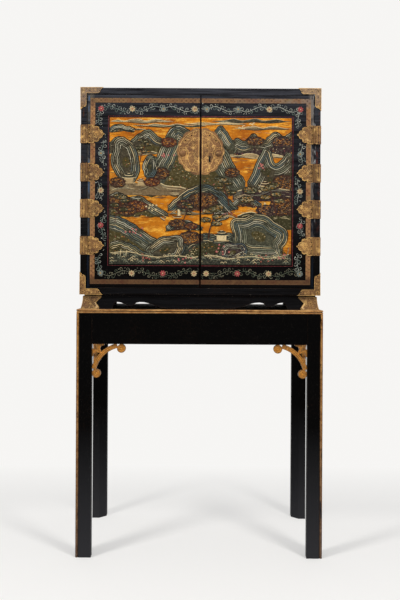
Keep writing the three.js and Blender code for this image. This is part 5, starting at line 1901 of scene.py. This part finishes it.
def chase(side, word):
    """The chasing of one half of the lock plate, and dark discs of painted shade for its holes."""
    relief, holes = Relief(PLATE_FACE), Relief(PLATE_FACE)

    def on_plate(point):
        x, z = side * point[0], point[1]
        inside = x > LOCK_EDGE and math.hypot(x, z - PLATE_Z) < PLATE_R - 6.5
        near_boss = math.hypot(x - BOSS_X, z - BOSS_Z) < 12.8
        near_key = abs(x - KEYHOLE_X) < 6.4 and abs(z - KEYHOLE_Z) < 14.0
        return inside and not near_boss and not near_key

    def draw(points, width, height=CHASE_RISE):
        for run in runs(mirrored(points, side), on_plate):
            relief.ridge(run, width, CHASE_DEPTH, height, GOLD)

    # A hole is a dark disc on the plate: painted shade.
    def mark_hole_shade(x, z, radius):
        if on_plate((side * x, z)):
            holes.bead(side * x, z, radius, CHASE_DEPTH, HOLE_RISE, COAL, 8)

    foot = PLATE_Z - PLATE_R + 8
    draw([(LOCK_EDGE + 2.0, foot + i * (2 * PLATE_R - 16) / 40) for i in range(41)], 2.6, 0.6)
    for radius, width in LOCK_RINGS:
        draw(closed(ring_outline(0.0, PLATE_Z, radius, 72)), width)
    for k in range(LOCK_HOLES):
        angle = math.pi * (k + 0.5) / LOCK_HOLES - math.pi / 2
        mark_hole_shade(*polar(0.0, PLATE_Z, LOCK_HOLES_R, angle), 1.9)
    for radius in BOSS_RINGS:
        draw(closed(ring_outline(BOSS_X, BOSS_Z, radius, 40)), 1.7, 0.7)
    for line in flower_lines(BOSS_X, BOSS_Z, BOSS_RINGS[1], 10):
        draw(line, 1.2)
    for x, z, radius, petals in LOCK_FLOWERS:
        for line in flower_lines(x, PLATE_Z + z, radius, petals, 0.3):
            draw(line, 1.3)
        mark_hole_shade(x, PLATE_Z + z, 3.2)
    draw(smooth_line([(x, PLATE_Z + z) for x, z in LOCK_SHIELD], 6), 2.0, 0.8)
    for x, z, radius, turn, way in LOCK_SCROLLS:
        draw(spiral(x, PLATE_Z + z, radius, turn, 1.2, way), 1.9)
        draw(spiral(x, PLATE_Z + z, radius * 0.8, turn + 2.4, 0.8, -way), 1.5)
    settle(relief.make(f"lock_plate_chasing_{word}", lock_chasing), f"{word}_door")
    settle(holes.make(f"lock_plate_holes_{word}", hole_shade), f"{word}_door")


for side, word in SIDES:
    chase(side, word)
print("lock plate chased")

# %% Chasing on hinge leaves and corner mounts
# The rows are out and up in millimetres, then radius and first angle.
LEAF_FLOWER = (33.0, 0.0, 13.0)
LEAF_SCROLLS = ((17, 17, 7.0, 1.0), (30, 21, 6.0, 0.2), (44, 12, 5.0, -0.3), (14, 5, 5.0, 2.0))
LEAF_HOLES = [(17, 28), (17, -28), (27, 29), (27, -29), (44, 19.5), (44, -19.5), (51, 11), (51, -11),
              (8, 14), (8, -14), (8, 0)]
KNUCKLE_LINES = (-6.6, -11.0, -20.0)
MOUNT_FLOWER = (10.5, 10.5, 8.0)
MOUNT_SCROLLS = 4
MOUNT_HOLES = (22, 35, 48, 61, 72)


def pattern_pair(name, lines, spots, nails=()):
    """A chased pattern and its holes in the plane y = 0, drawn as u along x and v along z."""
    relief, holes = Relief(0.0), Relief(0.0)
    for points, width in lines:
        relief.ridge(points, width, CHASE_DEPTH, CHASE_RISE, GOLD)
    for u, v in nails:
        relief.bead(u, v, 2.4, CHASE_DEPTH, 1.2, GOLD, 10)
    # The holes are dark discs: painted shade.
    for u, v, radius in spots:
        holes.bead(u, v, radius, CHASE_DEPTH, HOLE_RISE, COAL, 8)
    return relief.make(name, plain_brass), holes.make(f"{name}_holes", hole_shade)


leaf_lines = [(line, 1.3) for line in flower_lines(*LEAF_FLOWER, 8)]
leaf_lines.append((closed(ring_outline(*LEAF_FLOWER[:2], 4.4, 16)), 1.2))
for v_side in (-1, 1):
    for u, v, radius, turn in LEAF_SCROLLS:
        line = spiral(u, v, radius, turn, 1.1, -1)
        leaf_lines.append(([(a, v_side * b) for a, b in line], 1.5))
leaf_pair = pattern_pair("leaf_chasing", leaf_lines, [(u, v, 2.9) for u, v in LEAF_HOLES])
frame_lines = [([(u, -30.0 + 6 * i) for i in range(11)], 1.6) for u in KNUCKLE_LINES]
frame_pair = pattern_pair("frame_chasing", frame_lines, [])
mount_lines = [(line, 1.2) for line in flower_lines(*MOUNT_FLOWER, 6)]
for i in range(MOUNT_SCROLLS):
    along, way = 26.0 + 13.0 * i, 1 if i % 2 else -1
    line = spiral(along, 10.0 - 2.0 * way, 5.0, way * 0.9, 1.1, way)
    mount_lines.append((line, 1.4))
    mount_lines.append(([(b, a) for a, b in line], 1.4))
mount_spots = [(u, 4.6, 1.5) for u in MOUNT_HOLES]
mount_spots += [(4.6, u, 1.5) for u in MOUNT_HOLES[:-1]]
mount_pair = pattern_pair("mount_chasing", mount_lines, mount_spots)


def mirror(u_side, v_side=1):
    return Matrix.Diagonal((u_side, 1.0, v_side, 1.0))


def side_turn(side):
    """Turns the pattern plane to face the side of the case."""
    return Matrix.Rotation(side * math.pi / 2, 4, "Z") @ Matrix.Diagonal((side, 1.0, 1.0, 1.0))


for side, word in SIDES:
    on_door, on_frame, on_case = [], [], []
    for i in range(HINGE_COUNT):
        low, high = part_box(f"hinge_{word}_{i + 1}_door_leaf")
        spot = Matrix.Translation((side * hinge_axis_x, PLATE_FACE, (low.z + high.z) / 2))
        on_door.append(spot @ mirror(-side))
        on_frame.append(spot @ mirror(-side))
    for up, level in LEVELS:
        corner = Matrix.Translation(corner_of(f"corner_mount_{level}_{word}", side, up))
        on_case.append(corner @ mirror(-side, up))
        on_case.append(corner @ side_turn(side) @ mirror(1, up))
    for pair, places, body in ((leaf_pair, on_door, f"{word}_door"), (frame_pair, on_frame, "root"),
                               (mount_pair, on_case, "root")):
        for pattern_piece, material in zip(pair, (plain_brass, hole_shade)):
            if pattern_piece.data.polygons:
                made = copies(pattern_piece, f"{pattern_piece.name}_{word}", places, material)
                settle(made, body)
print("mounts chased")

# %% [markdown]
# The foot mounts flare outward to the stand, so a flat pattern would sink into them. It is drawn flat
# as the others are, and then each of its points is moved out to the plate, which a ray cast from the
# front finds. The same bent pattern fits the front and the side of all four mounts.

# %% Chasing on the flared foot mounts
FOOT_FLOWER = (31.0, 23.0, 12.5)
FOOT_SCROLLS = [(15, 12, 6.0, 0.4, 1), (19, 37, 5.5, 2.4, -1), (45, 10, 5.5, 1.2, -1),
                (44, 37, 5.5, -0.6, 1), (59, 40, 3.5, -0.8, -1), (12, 23, 3.0, 1.0, 1),
                (31, 41, 3.0, 0.0, 1)]
FOOT_NAILS = [(9.5, 5.5), (14.5, 42.5), (66.0, 42.0), (47.5, 25.0)]
FOOT_HOLES = [(u, 4.0, 1.4) for u in (18, 27, 36, 45, 53)] + [(u, 44.6, 1.4) for u in (23, 33, 43, 53)]
FOOT_HOOK = [(51.5, 24.5), (54.0, 19.0), (58.2, 13.0), (60.5, 8.0), (58.5, 4.6), (55.4, 5.8),
             (56.6, 8.6)]
SWAP_XY = Matrix(((0, 1, 0, 0), (1, 0, 0, 0), (0, 0, 1, 0), (0, 0, 0, 1)))

foot_lines = [(line, 1.3) for line in flower_lines(*FOOT_FLOWER, 8, 0.2)]
foot_lines.append((closed(ring_outline(*FOOT_FLOWER[:2], 4.2, 16)), 1.2))
foot_lines += [(spiral(u, v, radius, turn, 1.1, way), 1.5) for u, v, radius, turn, way in FOOT_SCROLLS]
# The curl at the notch is near-white brass: a painted highlight.
hook = Relief(0.0)
hook.ridge(smooth_line(FOOT_HOOK, 5), 4.8, CHASE_DEPTH, 1.3, GOLD)
foot_finishes = (plain_brass, hole_shade, painted_highlight_brass)
foot_pieces = (
    *pattern_pair("foot_chasing", foot_lines, FOOT_HOLES, FOOT_NAILS),
    hook.make("foot_curl", painted_highlight_brass),
)

foot_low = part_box("foot_mount_front_left")[0]
bpy.context.view_layer.update()
for piece in foot_pieces:
    for point in piece.data.vertices:
        start = (foot_low.x + point.co.x, foot_low.y - 0.1, foot_low.z + point.co.z)
        found, hit = nodes["foot_mount_front_left"].ray_cast(start, (0.0, 1.0, 0.0))[:2]
        assert found, "the pattern reaches past the foot mount"
        point.co.y += hit.y - foot_low.y
for side, word in SIDES:
    places = []
    for way, place in ENDS:
        low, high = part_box(f"foot_mount_{place}_{word}")
        outer = (end_of(side, low.x, high.x), end_of(way, low.y, high.y), low.z)
        corner = Matrix.Translation(outer)
        inward = corner @ Matrix.Diagonal((-side, -way, 1.0, 1.0))
        places += [inward, inward @ SWAP_XY]
    for pattern_piece, material in zip(foot_pieces, foot_finishes):
        settle(copies(pattern_piece, f"{pattern_piece.name}_{word}", places, material), "root")
print("foot mounts chased")

# %% [markdown]
# ## Carving on the brackets
#
# The brackets are sawn scrolls with carved faces: a bead along each side of the arm, a coil in each
# round end and veins in the two leaves. The carving is drawn once on a flat bracket and turned to
# both faces of all six, so it moves with the shapes of the model.

# %% Bracket carving
ARM_R = 115.0
ARM_OFFSET = 3.0
BALL_R = 16.0
BALL_REACH = 107.0
BRACKET_HALF_T = 6.0
CARVE_DEPTH = -0.4
CARVE_RISE = 1.6
VEIN_RISE = CARVE_RISE * 0.8
# The veins of one leaf, as shares of the way from the corner to the middle of the arm.
VEINS = (
    ((0.62, 0.1), (0.66, 0.34), (0.78, 0.68), (0.9, 0.92)),
    ((1.0, 0.06), (0.78, 0.14), (0.68, 0.3)),
    ((0.7, 0.44), (0.82, 0.6), (0.84, 0.74)),
)


def carving():
    """One face of a bracket: the arm's beads, the coils in its ends and the veins of its leaves."""
    relief = Relief(-BRACKET_HALF_T * MM)
    centre = ARM_R + ARM_OFFSET

    def arc(radius, first, last, steps=26):
        angles = [first + (last - first) * i / steps for i in range(steps + 1)]
        return [(centre - radius * math.cos(a), radius * math.sin(a) - centre) for a in angles]

    for radius in (ARM_R - 5.6, ARM_R + 5.6):
        relief.ridge(arc(radius, 0.28, math.pi / 2 - 0.28), 2.6, CARVE_DEPTH, CARVE_RISE, GOLD)
    relief.ridge(arc(ARM_R, 0.36, math.pi / 2 - 0.36), 3.4, CARVE_DEPTH, VEIN_RISE, GOLD)
    for x, z, turn, way in ((BALL_REACH, -BALL_R, math.pi / 2, -1), (BALL_R, -BALL_REACH, math.pi, 1)):
        relief.ridge(coil(x, z, 13.0, turn, 1.8, way, 0.78, 39), 3.2, CARVE_DEPTH, CARVE_RISE, GOLD)
        relief.bead(x, z, 3.6, CARVE_DEPTH, CARVE_RISE * 1.3, GOLD, 12)
    middle = centre - ARM_R * math.sqrt(0.5)
    for swap in (False, True):
        for shape in VEINS:
            points = [(middle * u, -middle * v) for u, v in shape]
            if swap:
                points = [(-v, -u) for u, v in points]
            relief.ridge(smooth_line(points, 5), 2.2, CARVE_DEPTH, VEIN_RISE, GOLD)
    return relief.make("bracket_carving", carved_gilt)


pattern = carving()
faces_out = [Matrix.Identity(4), Matrix.Scale(-1.0, 4, (0.0, 1.0, 0.0))]
for node in sorted(name for name in nodes if name.startswith("bracket_")):
    low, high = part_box(node)
    _, place, end = node.split("_")
    across = place == "front"
    sign = (1 if end == "left" else -1) if across else (1 if end == "front" else -1)
    if across:
        spot = (end_of(-sign, low.x, high.x), (low.y + high.y) / 2, high.z)
        turn = Matrix.Identity(4) if sign > 0 else Matrix.Rotation(math.pi, 4, "Z")
    else:
        spot = ((low.x + high.x) / 2, end_of(-sign, low.y, high.y), high.z)
        turn = Matrix.Rotation(math.pi / 2 * sign, 4, "Z")
    places = [Matrix.Translation(spot) @ turn @ face for face in faces_out]
    made = copies(pattern, f"carving_{place}_{end}", places, carved_gilt)
    settle(made, "root")
spares = (pattern, flower, nail, *painted.values(), *leaf_pair, *frame_pair, *mount_pair, *foot_pieces)
for spare in spares:
    bpy.data.objects.remove(spare)
print("brackets carved")

# %% [markdown]
# ## Sprays on the sides and inside the doors
#
# The sides of the case and the backs of the doors are plainer: a double gilt line round a flowering
# branch. The branch grows by a rule. A twig bends a little at each step, thins out, and now and then
# sends off a side twig, a leaf or a blossom. One rule with different seeds gives four sprays that
# belong together.

# %% A flowering branch
SPRAY_DEPTH = -0.05
SPRAY_RISE = 0.45
TWIG_STEP = 11.0
# The first direction, the width and the number of steps of each stem.
STEMS = ((1.45, 5.4, 44), (1.05, 4.2, 34), (1.95, 3.8, 30), (0.75, 3.2, 22))
LINE_PAIR = ((0.0, 2.6), (7.0, 1.4))
LINE_RISE = 0.3
LINE_CLEAR = 16
SPRAY_LEAF = ink(158, 108, 52)
SPRAY_BRIGHT = ink(204, 158, 92)
SPRAY_UNDER = ink(92, 52, 28)
spray_gilt = gilt_finish("spray_gilt", SPRAY_LEAF, SPRAY_BRIGHT, SPRAY_UNDER, 0.25, 0.42)


def add_blossom(relief, x, z, radius):
    for line in flower_lines(x, z, radius, 5, rng.random()):
        relief.slab(line[:-1], SPRAY_DEPTH, SPRAY_RISE, GOLD)
    relief.bead(x, z, radius * 0.24, SPRAY_DEPTH, SPRAY_RISE * 1.6, GOLD, 6)


def branch(relief, x, z, heading, width, steps, room, keep):
    """Grows a twig from (x, z) and, with luck, more twigs, leaves and blossoms from it."""
    line = [(x, z)]
    for i in range(steps):
        heading += rng.uniform(-0.3, 0.3) + 0.07 * math.cos(heading)
        x0, z0, x1, z1 = room
        if not (x0 < x < x1 and z0 < z < z1):
            inward = math.atan2((z0 + z1) / 2 - z, (x0 + x1) / 2 - x)
            heading += 0.3 * math.sin(inward - heading)
        x += TWIG_STEP * math.cos(heading)
        z += TWIG_STEP * math.sin(heading)
        if not keep((x, z)):
            break
        line.append((x, z))
        side = rng.choice((-1, 1))
        if width > 1.9 and i > 4 and rng.random() < 0.17:
            way = heading + side * rng.uniform(0.5, 1.0)
            branch(relief, x, z, way, width * 0.62, int(steps * 0.5), room, keep)
        elif rng.random() < 0.5:
            way = heading + side * rng.uniform(0.5, 1.2)
            add_leaf(relief, x, z, way, rng.uniform(8, 13), GOLD, SPRAY_DEPTH)
        if width < 3.6 and rng.random() < 0.16:
            add_blossom(relief, x + side * 5, z + 4, rng.uniform(6.5, 9.0))
    if len(line) > 1:
        relief.ridge(smooth_line(line, 4), width, SPRAY_DEPTH, SPRAY_RISE, GOLD)


def double_line(relief, x0, z0, x1, z1):
    for inset, width in LINE_PAIR:
        corners = closed(box_outline(x0 + inset, z0 + inset, x1 - inset, z1 - inset))
        for start, end in zip(corners, corners[1:]):
            relief.ridge([start, end], width, SPRAY_DEPTH, LINE_RISE, GOLD, False)


def spray(relief, near_x, far_x, z0, z1, lean):
    """A double line and the branch inside it, which leans away from the middle of the case."""
    x0, x1 = sorted((near_x, far_x))
    double_line(relief, x0, z0, x1, z1)

    def keep(point):
        across = x0 + LINE_CLEAR < point[0] < x1 - LINE_CLEAR
        return across and z0 + LINE_CLEAR < point[1] < z1 - LINE_CLEAR

    room = (x0 + 44, z0 + 30, x1 - 44, z1 - 44)
    middle = (x0 + x1) / 2
    span = z1 - z0
    for heading, width, steps in STEMS:
        way = heading if lean > 0 else math.pi - heading
        branch(relief, middle - lean * 40, z0 + span * 0.06, way, width, steps, room, keep)


# %% Sprays on the sides of the case
SIDE_FRONT_Y = -150.0
SIDE_BACK_Y = 216.0
SIDE_INSET = 44.0
side_low_z = case_side_low.z / MM + SIDE_INSET
side_high_z = case_side_high.z / MM - SIDE_INSET
for side, word in SIDES:
    rng.seed(40 + side)
    relief = Relief(0.0)
    spray(relief, side * SIDE_FRONT_Y, side * SIDE_BACK_Y, side_low_z, side_high_z, side)
    piece = relief.make(f"side_spray_{word}", spray_gilt)
    place = Matrix.Translation((side * case_side_high.x, 0.0, 0.0))
    piece.data.transform(place @ Matrix.Rotation(side * math.pi / 2, 4, "Z"))
    settle(piece, "root")

# %% Gilt lines on the back and the top
GILT_LINE_X = 392.0
BACK_LINE_INSET = 30.0
TOP_LINE_INSET = 52.0
face_back = Matrix.Translation((0.0, case_back_high.y, 0.0)) @ Matrix.Rotation(math.pi, 4, "Z")
face_up = Matrix.Translation((0.0, 0.0, case_top_high.z)) @ Matrix.Rotation(-math.pi / 2, 4, "X")
for word, low, high, inset, place in (
    ("back", case_back_low.z, case_back_high.z, BACK_LINE_INSET, face_back),
    ("top", case_top_low.y, case_top_high.y, TOP_LINE_INSET, face_up),
):
    relief = Relief(0.0)
    double_line(relief, -GILT_LINE_X, low / MM + inset, GILT_LINE_X, high / MM - inset)
    piece = relief.make(f"{word}_gilt_lines", spray_gilt)
    piece.data.transform(place)
    settle(piece, "root")

# %% Sprays on the backs of the doors
BACK_NEAR_X = 88.0
BACK_FAR_X = 382.0
BACK_INSET = 52.0
back_low_z = DOOR_LOW_Z / MM + BACK_INSET
back_high_z = DOOR_HIGH_Z / MM - BACK_INSET
for side, word in SIDES:
    rng.seed(60 + side)
    relief = Relief(DOOR_BACK_Y, 1.0)
    spray(relief, side * BACK_NEAR_X, side * BACK_FAR_X, back_low_z, back_high_z, side)
    settle(relief.make(f"door_spray_{word}", spray_gilt), f"{word}_door")

# %% [markdown]
# Inside, thin beads cover the joints of the back board and the shelves rest on ledges. Each bead is
# a long box with its edges rounded, let a little way into the boards it is glued to, so that no
# light comes past the back board.

# %% Beads round the back board and ledges under the shelves
BEAD_SIZE = 7.0 * MM
LEDGE_HIGH = 12.0 * MM
LEDGE_THICK = 9.0 * MM
LET_IN = 0.3 * MM
BEAD_SOFT = 2.0 * MM
LEDGE_SOFT = 1.2 * MM
LEDGE_SETBACK = 20.0 * MM
INNER_X = case_side_low.x
INNER_LOW_Z = case_bottom_high.z - LET_IN
INNER_HIGH_Z = case_top_low.z + LET_IN
BACK_Y = case_back_low.y + LET_IN
STOP_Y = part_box("door_stop_top")[1].y


def strip(name, xs, ys, zs, soft, material=red_lacquer):
    """A bar that fills the three spans, its edges rounded."""
    spans = (xs, ys, zs)
    low, high = Vector(min(span) for span in spans), Vector(max(span) for span in spans)
    bpy.ops.object.select_all(action="DESELECT")
    bpy.ops.mesh.primitive_cube_add(size=1.0)
    piece = bpy.context.object
    piece.name = name
    edit(piece, "EDGE")
    bpy.ops.transform.resize(value=high - low)
    bpy.ops.transform.translate(value=(high + low) / 2)
    bpy.ops.mesh.bevel(offset=soft, segments=3, affect="EDGES")
    leave_edit()
    piece.data.materials.append(material)
    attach(piece, "root")


def behind(way, face, depth):
    """The span from just inside a board's face to that depth away from it."""
    return way * (face + LET_IN), way * (face - depth)


bead_span = INNER_X - BEAD_SIZE
along_back = (BACK_Y - BEAD_SIZE, BACK_Y)
low_bead = (INNER_LOW_Z, INNER_LOW_Z + BEAD_SIZE)
high_bead = (INNER_HIGH_Z - BEAD_SIZE, INNER_HIGH_Z)
for side, word in SIDES:
    strip(f"back_bead_{word}", behind(side, INNER_X, BEAD_SIZE), along_back,
          (INNER_LOW_Z, INNER_HIGH_Z), BEAD_SOFT)
for word, heights in (("bottom", low_bead), ("top", high_bead)):
    strip(f"back_bead_{word}", (-bead_span, bead_span), along_back, heights, BEAD_SOFT)
for side, word in SIDES:
    for level, heights in (("low", low_bead), ("high", high_bead)):
        strip(f"side_bead_{level}_{word}", behind(side, INNER_X, BEAD_SIZE),
              (STOP_Y, BACK_Y - BEAD_SIZE), heights, BEAD_SOFT)
for shelf in ("lower", "upper"):
    shelf_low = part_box(f"shelf_{shelf}")[0]
    depths = (shelf_low.y + LEDGE_SETBACK, BACK_Y - BEAD_SIZE)
    heights = (shelf_low.z - LEDGE_HIGH, shelf_low.z)
    for side, word in SIDES:
        strip(f"ledge_{shelf}_{word}", behind(side, INNER_X, LEDGE_THICK), depths, heights, LEDGE_SOFT)
print("inside fitted")

# %% [markdown]
# Joiners glue small blocks behind the joints of a frame. They hold it square, and they close the
# hairlines between boards, which would otherwise let light through. Here they run under the stand's
# top along the rails, behind each joint of leg and rail, and round the inside of the base.

# %% Glue blocks
GLUE_BLOCK = 16.0 * MM
GLUE_SOFT = 0.8 * MM
BLOCK_RISE = 2 * MM
RAIL_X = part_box("rail_right")[0].x
RAIL_Y = -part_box("rail_front")[1].y
LEG_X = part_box("leg_front_right")[0].x
LEG_Y = -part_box("leg_front_right")[1].y
BASE_X = -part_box("base_left")[1].x
BASE_Y = -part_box("base_front")[1].y
TOP_Z = stand_top_low.z + LET_IN
SEAT_Z = case_bottom_low.z + LET_IN


def glue_block(name, xs, ys, zs):
    strip(name, xs, ys, zs, GLUE_SOFT, black_lacquer)


under_top = (TOP_Z - GLUE_BLOCK, TOP_Z)
under_seat = (SEAT_Z - GLUE_BLOCK, SEAT_Z)
behind_rail = (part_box("rail_front")[0].z + BLOCK_RISE, TOP_Z - GLUE_BLOCK)
rail_reach = RAIL_Y - GLUE_BLOCK
base_reach = BASE_X - GLUE_BLOCK
for way, word in ENDS:
    glue_block(f"glue_strip_{word}", (-RAIL_X, RAIL_X), behind(way, RAIL_Y, GLUE_BLOCK), under_top)
for side, word in SIDES:
    at_rail, at_leg = behind(side, RAIL_X, GLUE_BLOCK), behind(side, LEG_X, GLUE_BLOCK)
    glue_block(f"glue_strip_{word}", at_rail, (-rail_reach, rail_reach), under_top)
    for way, place in ENDS:
        name = f"glue_block_{place}_{word}"
        glue_block(f"{name}_a", at_leg, behind(way, RAIL_Y, GLUE_BLOCK), behind_rail)
        glue_block(f"{name}_b", at_rail, behind(way, LEG_Y, GLUE_BLOCK), behind_rail)
for side, word in SIDES:
    glue_block(f"base_strip_{word}", behind(side, BASE_X, GLUE_BLOCK), (-BASE_Y, BASE_Y), under_seat)
for way, word in ENDS:
    reach = (-base_reach, base_reach)
    glue_block(f"base_strip_{word}", reach, behind(way, BASE_Y, GLUE_BLOCK), under_seat)
print("glue blocks set")

# %% [markdown]
# ## Floor, backdrop and light
#
# The studio is a white sweep: a floor that curves up behind the object into a wall. It shows itself
# to the camera and to reflections as almost white, and still takes part of the soft shadows. Two
# large soft lamps stand to the front left and right, so each leg throws two faint shadows inward.

# %% Studio
SWEEP_HALF_WIDTH = 9.0
SWEEP_FRONT = -7.0
SWEEP_BACK = 5.0
SWEEP_HEIGHT = 7.0
SWEEP_RADIUS = 2.0
SWEEP_STEPS = 24

bpy.ops.object.select_all(action="DESELECT")
bpy.ops.mesh.primitive_plane_add(size=1.0)
sweep = bpy.context.object
sweep.name = "studio_sweep"
profile = [(SWEEP_FRONT, 0.0)]
for step in range(SWEEP_STEPS + 1):
    turn = math.pi / 2 * step / SWEEP_STEPS
    reach = SWEEP_BACK - SWEEP_RADIUS + SWEEP_RADIUS * math.sin(turn)
    profile.append((reach, SWEEP_RADIUS * (1.0 - math.cos(turn))))
profile.append((SWEEP_BACK, SWEEP_HEIGHT))
corners = [(x, y, z) for y, z in profile for x in (-SWEEP_HALF_WIDTH, SWEEP_HALF_WIDTH)]
faces = [(2 * i, 2 * i + 1, 2 * i + 3, 2 * i + 2) for i in range(len(profile) - 1)]
sweep.data.clear_geometry()
sweep.data.from_pydata(corners, [], faces)
sweep.data.polygons.foreach_set("use_smooth", [True] * len(faces))

BACKDROP = (0.925, 0.916, 0.9, 1.0)
SWEEP_WHITE = (0.945, 0.94, 0.93, 1.0)
SKY = (0.95, 0.97, 1.0, 1.0)
SKY_STRENGTH = 0.37
LEAST_SHOWN = 0.28


def seen_directly(tree):
    """1 for what the camera sees, itself, in a reflection or through glass."""
    paths = put(tree, "LightPath").outputs
    return larger(larger(paths["Is Camera Ray"], paths["Is Glossy Ray"]), paths["Is Transmission Ray"])


def show_backdrop(tree, share, lit, kind, output):
    """Lets the backdrop's own colour take over from what the lamps make of it."""
    shown = put(tree, kind, {"Color": BACKDROP, "Strength": 1.0}).outputs[0]
    mixed = put(tree, "MixShader", {0: share, 1: lit.outputs[0], 2: shown}).outputs[0]
    plug(mixed, tree.nodes[output].inputs["Surface"])


white, tree, shader = start_material("studio_white")
shader.inputs["Base Color"].default_value = SWEEP_WHITE
shader.inputs["Roughness"].default_value = 0.9
shader.inputs["Specular IOR Level"].default_value = 0.1
depth = axes(object_place(tree))[1]
away = larger(threshold(depth, -0.3, 1.1), threshold(depth, -1.9, -3.1))
away = plus(times(away, 1.0 - LEAST_SHOWN), LEAST_SHOWN)
show_backdrop(tree, times(seen_directly(tree), away), shader, "Emission", "Material Output")
sweep.data.materials.append(white)

world = bpy.context.scene.world or bpy.data.worlds.new("studio")
bpy.context.scene.world = world
world.use_nodes = True
tree = world.node_tree
lit = tree.nodes["Background"]
lit.inputs["Color"].default_value = SKY
lit.inputs["Strength"].default_value = SKY_STRENGTH
show_backdrop(tree, seen_directly(tree), lit, "Background", "World Output")


def lamp(name, place, aim, size, power, colour):
    bpy.ops.object.select_all(action="DESELECT")
    bpy.ops.object.light_add(type="AREA", location=place)
    made = bpy.context.object
    made.name = name
    made.data.shape = "DISK"
    made.data.size = size
    made.data.energy = power
    made.data.color = colour
    made.rotation_euler = (Vector(aim) - Vector(place)).to_track_quat("-Z", "Y").to_euler()


lamp("lamp_left", (-2.4, -2.4, 3.9), (0.0, 0.0, 0.9), 0.9, 96.0, (1.0, 0.98, 0.95))
lamp("lamp_right", (1.8, -2.7, 3.7), (0.0, 0.0, 0.9), 0.9, 88.0, (1.0, 0.98, 0.95))
bpy.context.scene.view_settings.view_transform = "Standard"
print("studio ready")
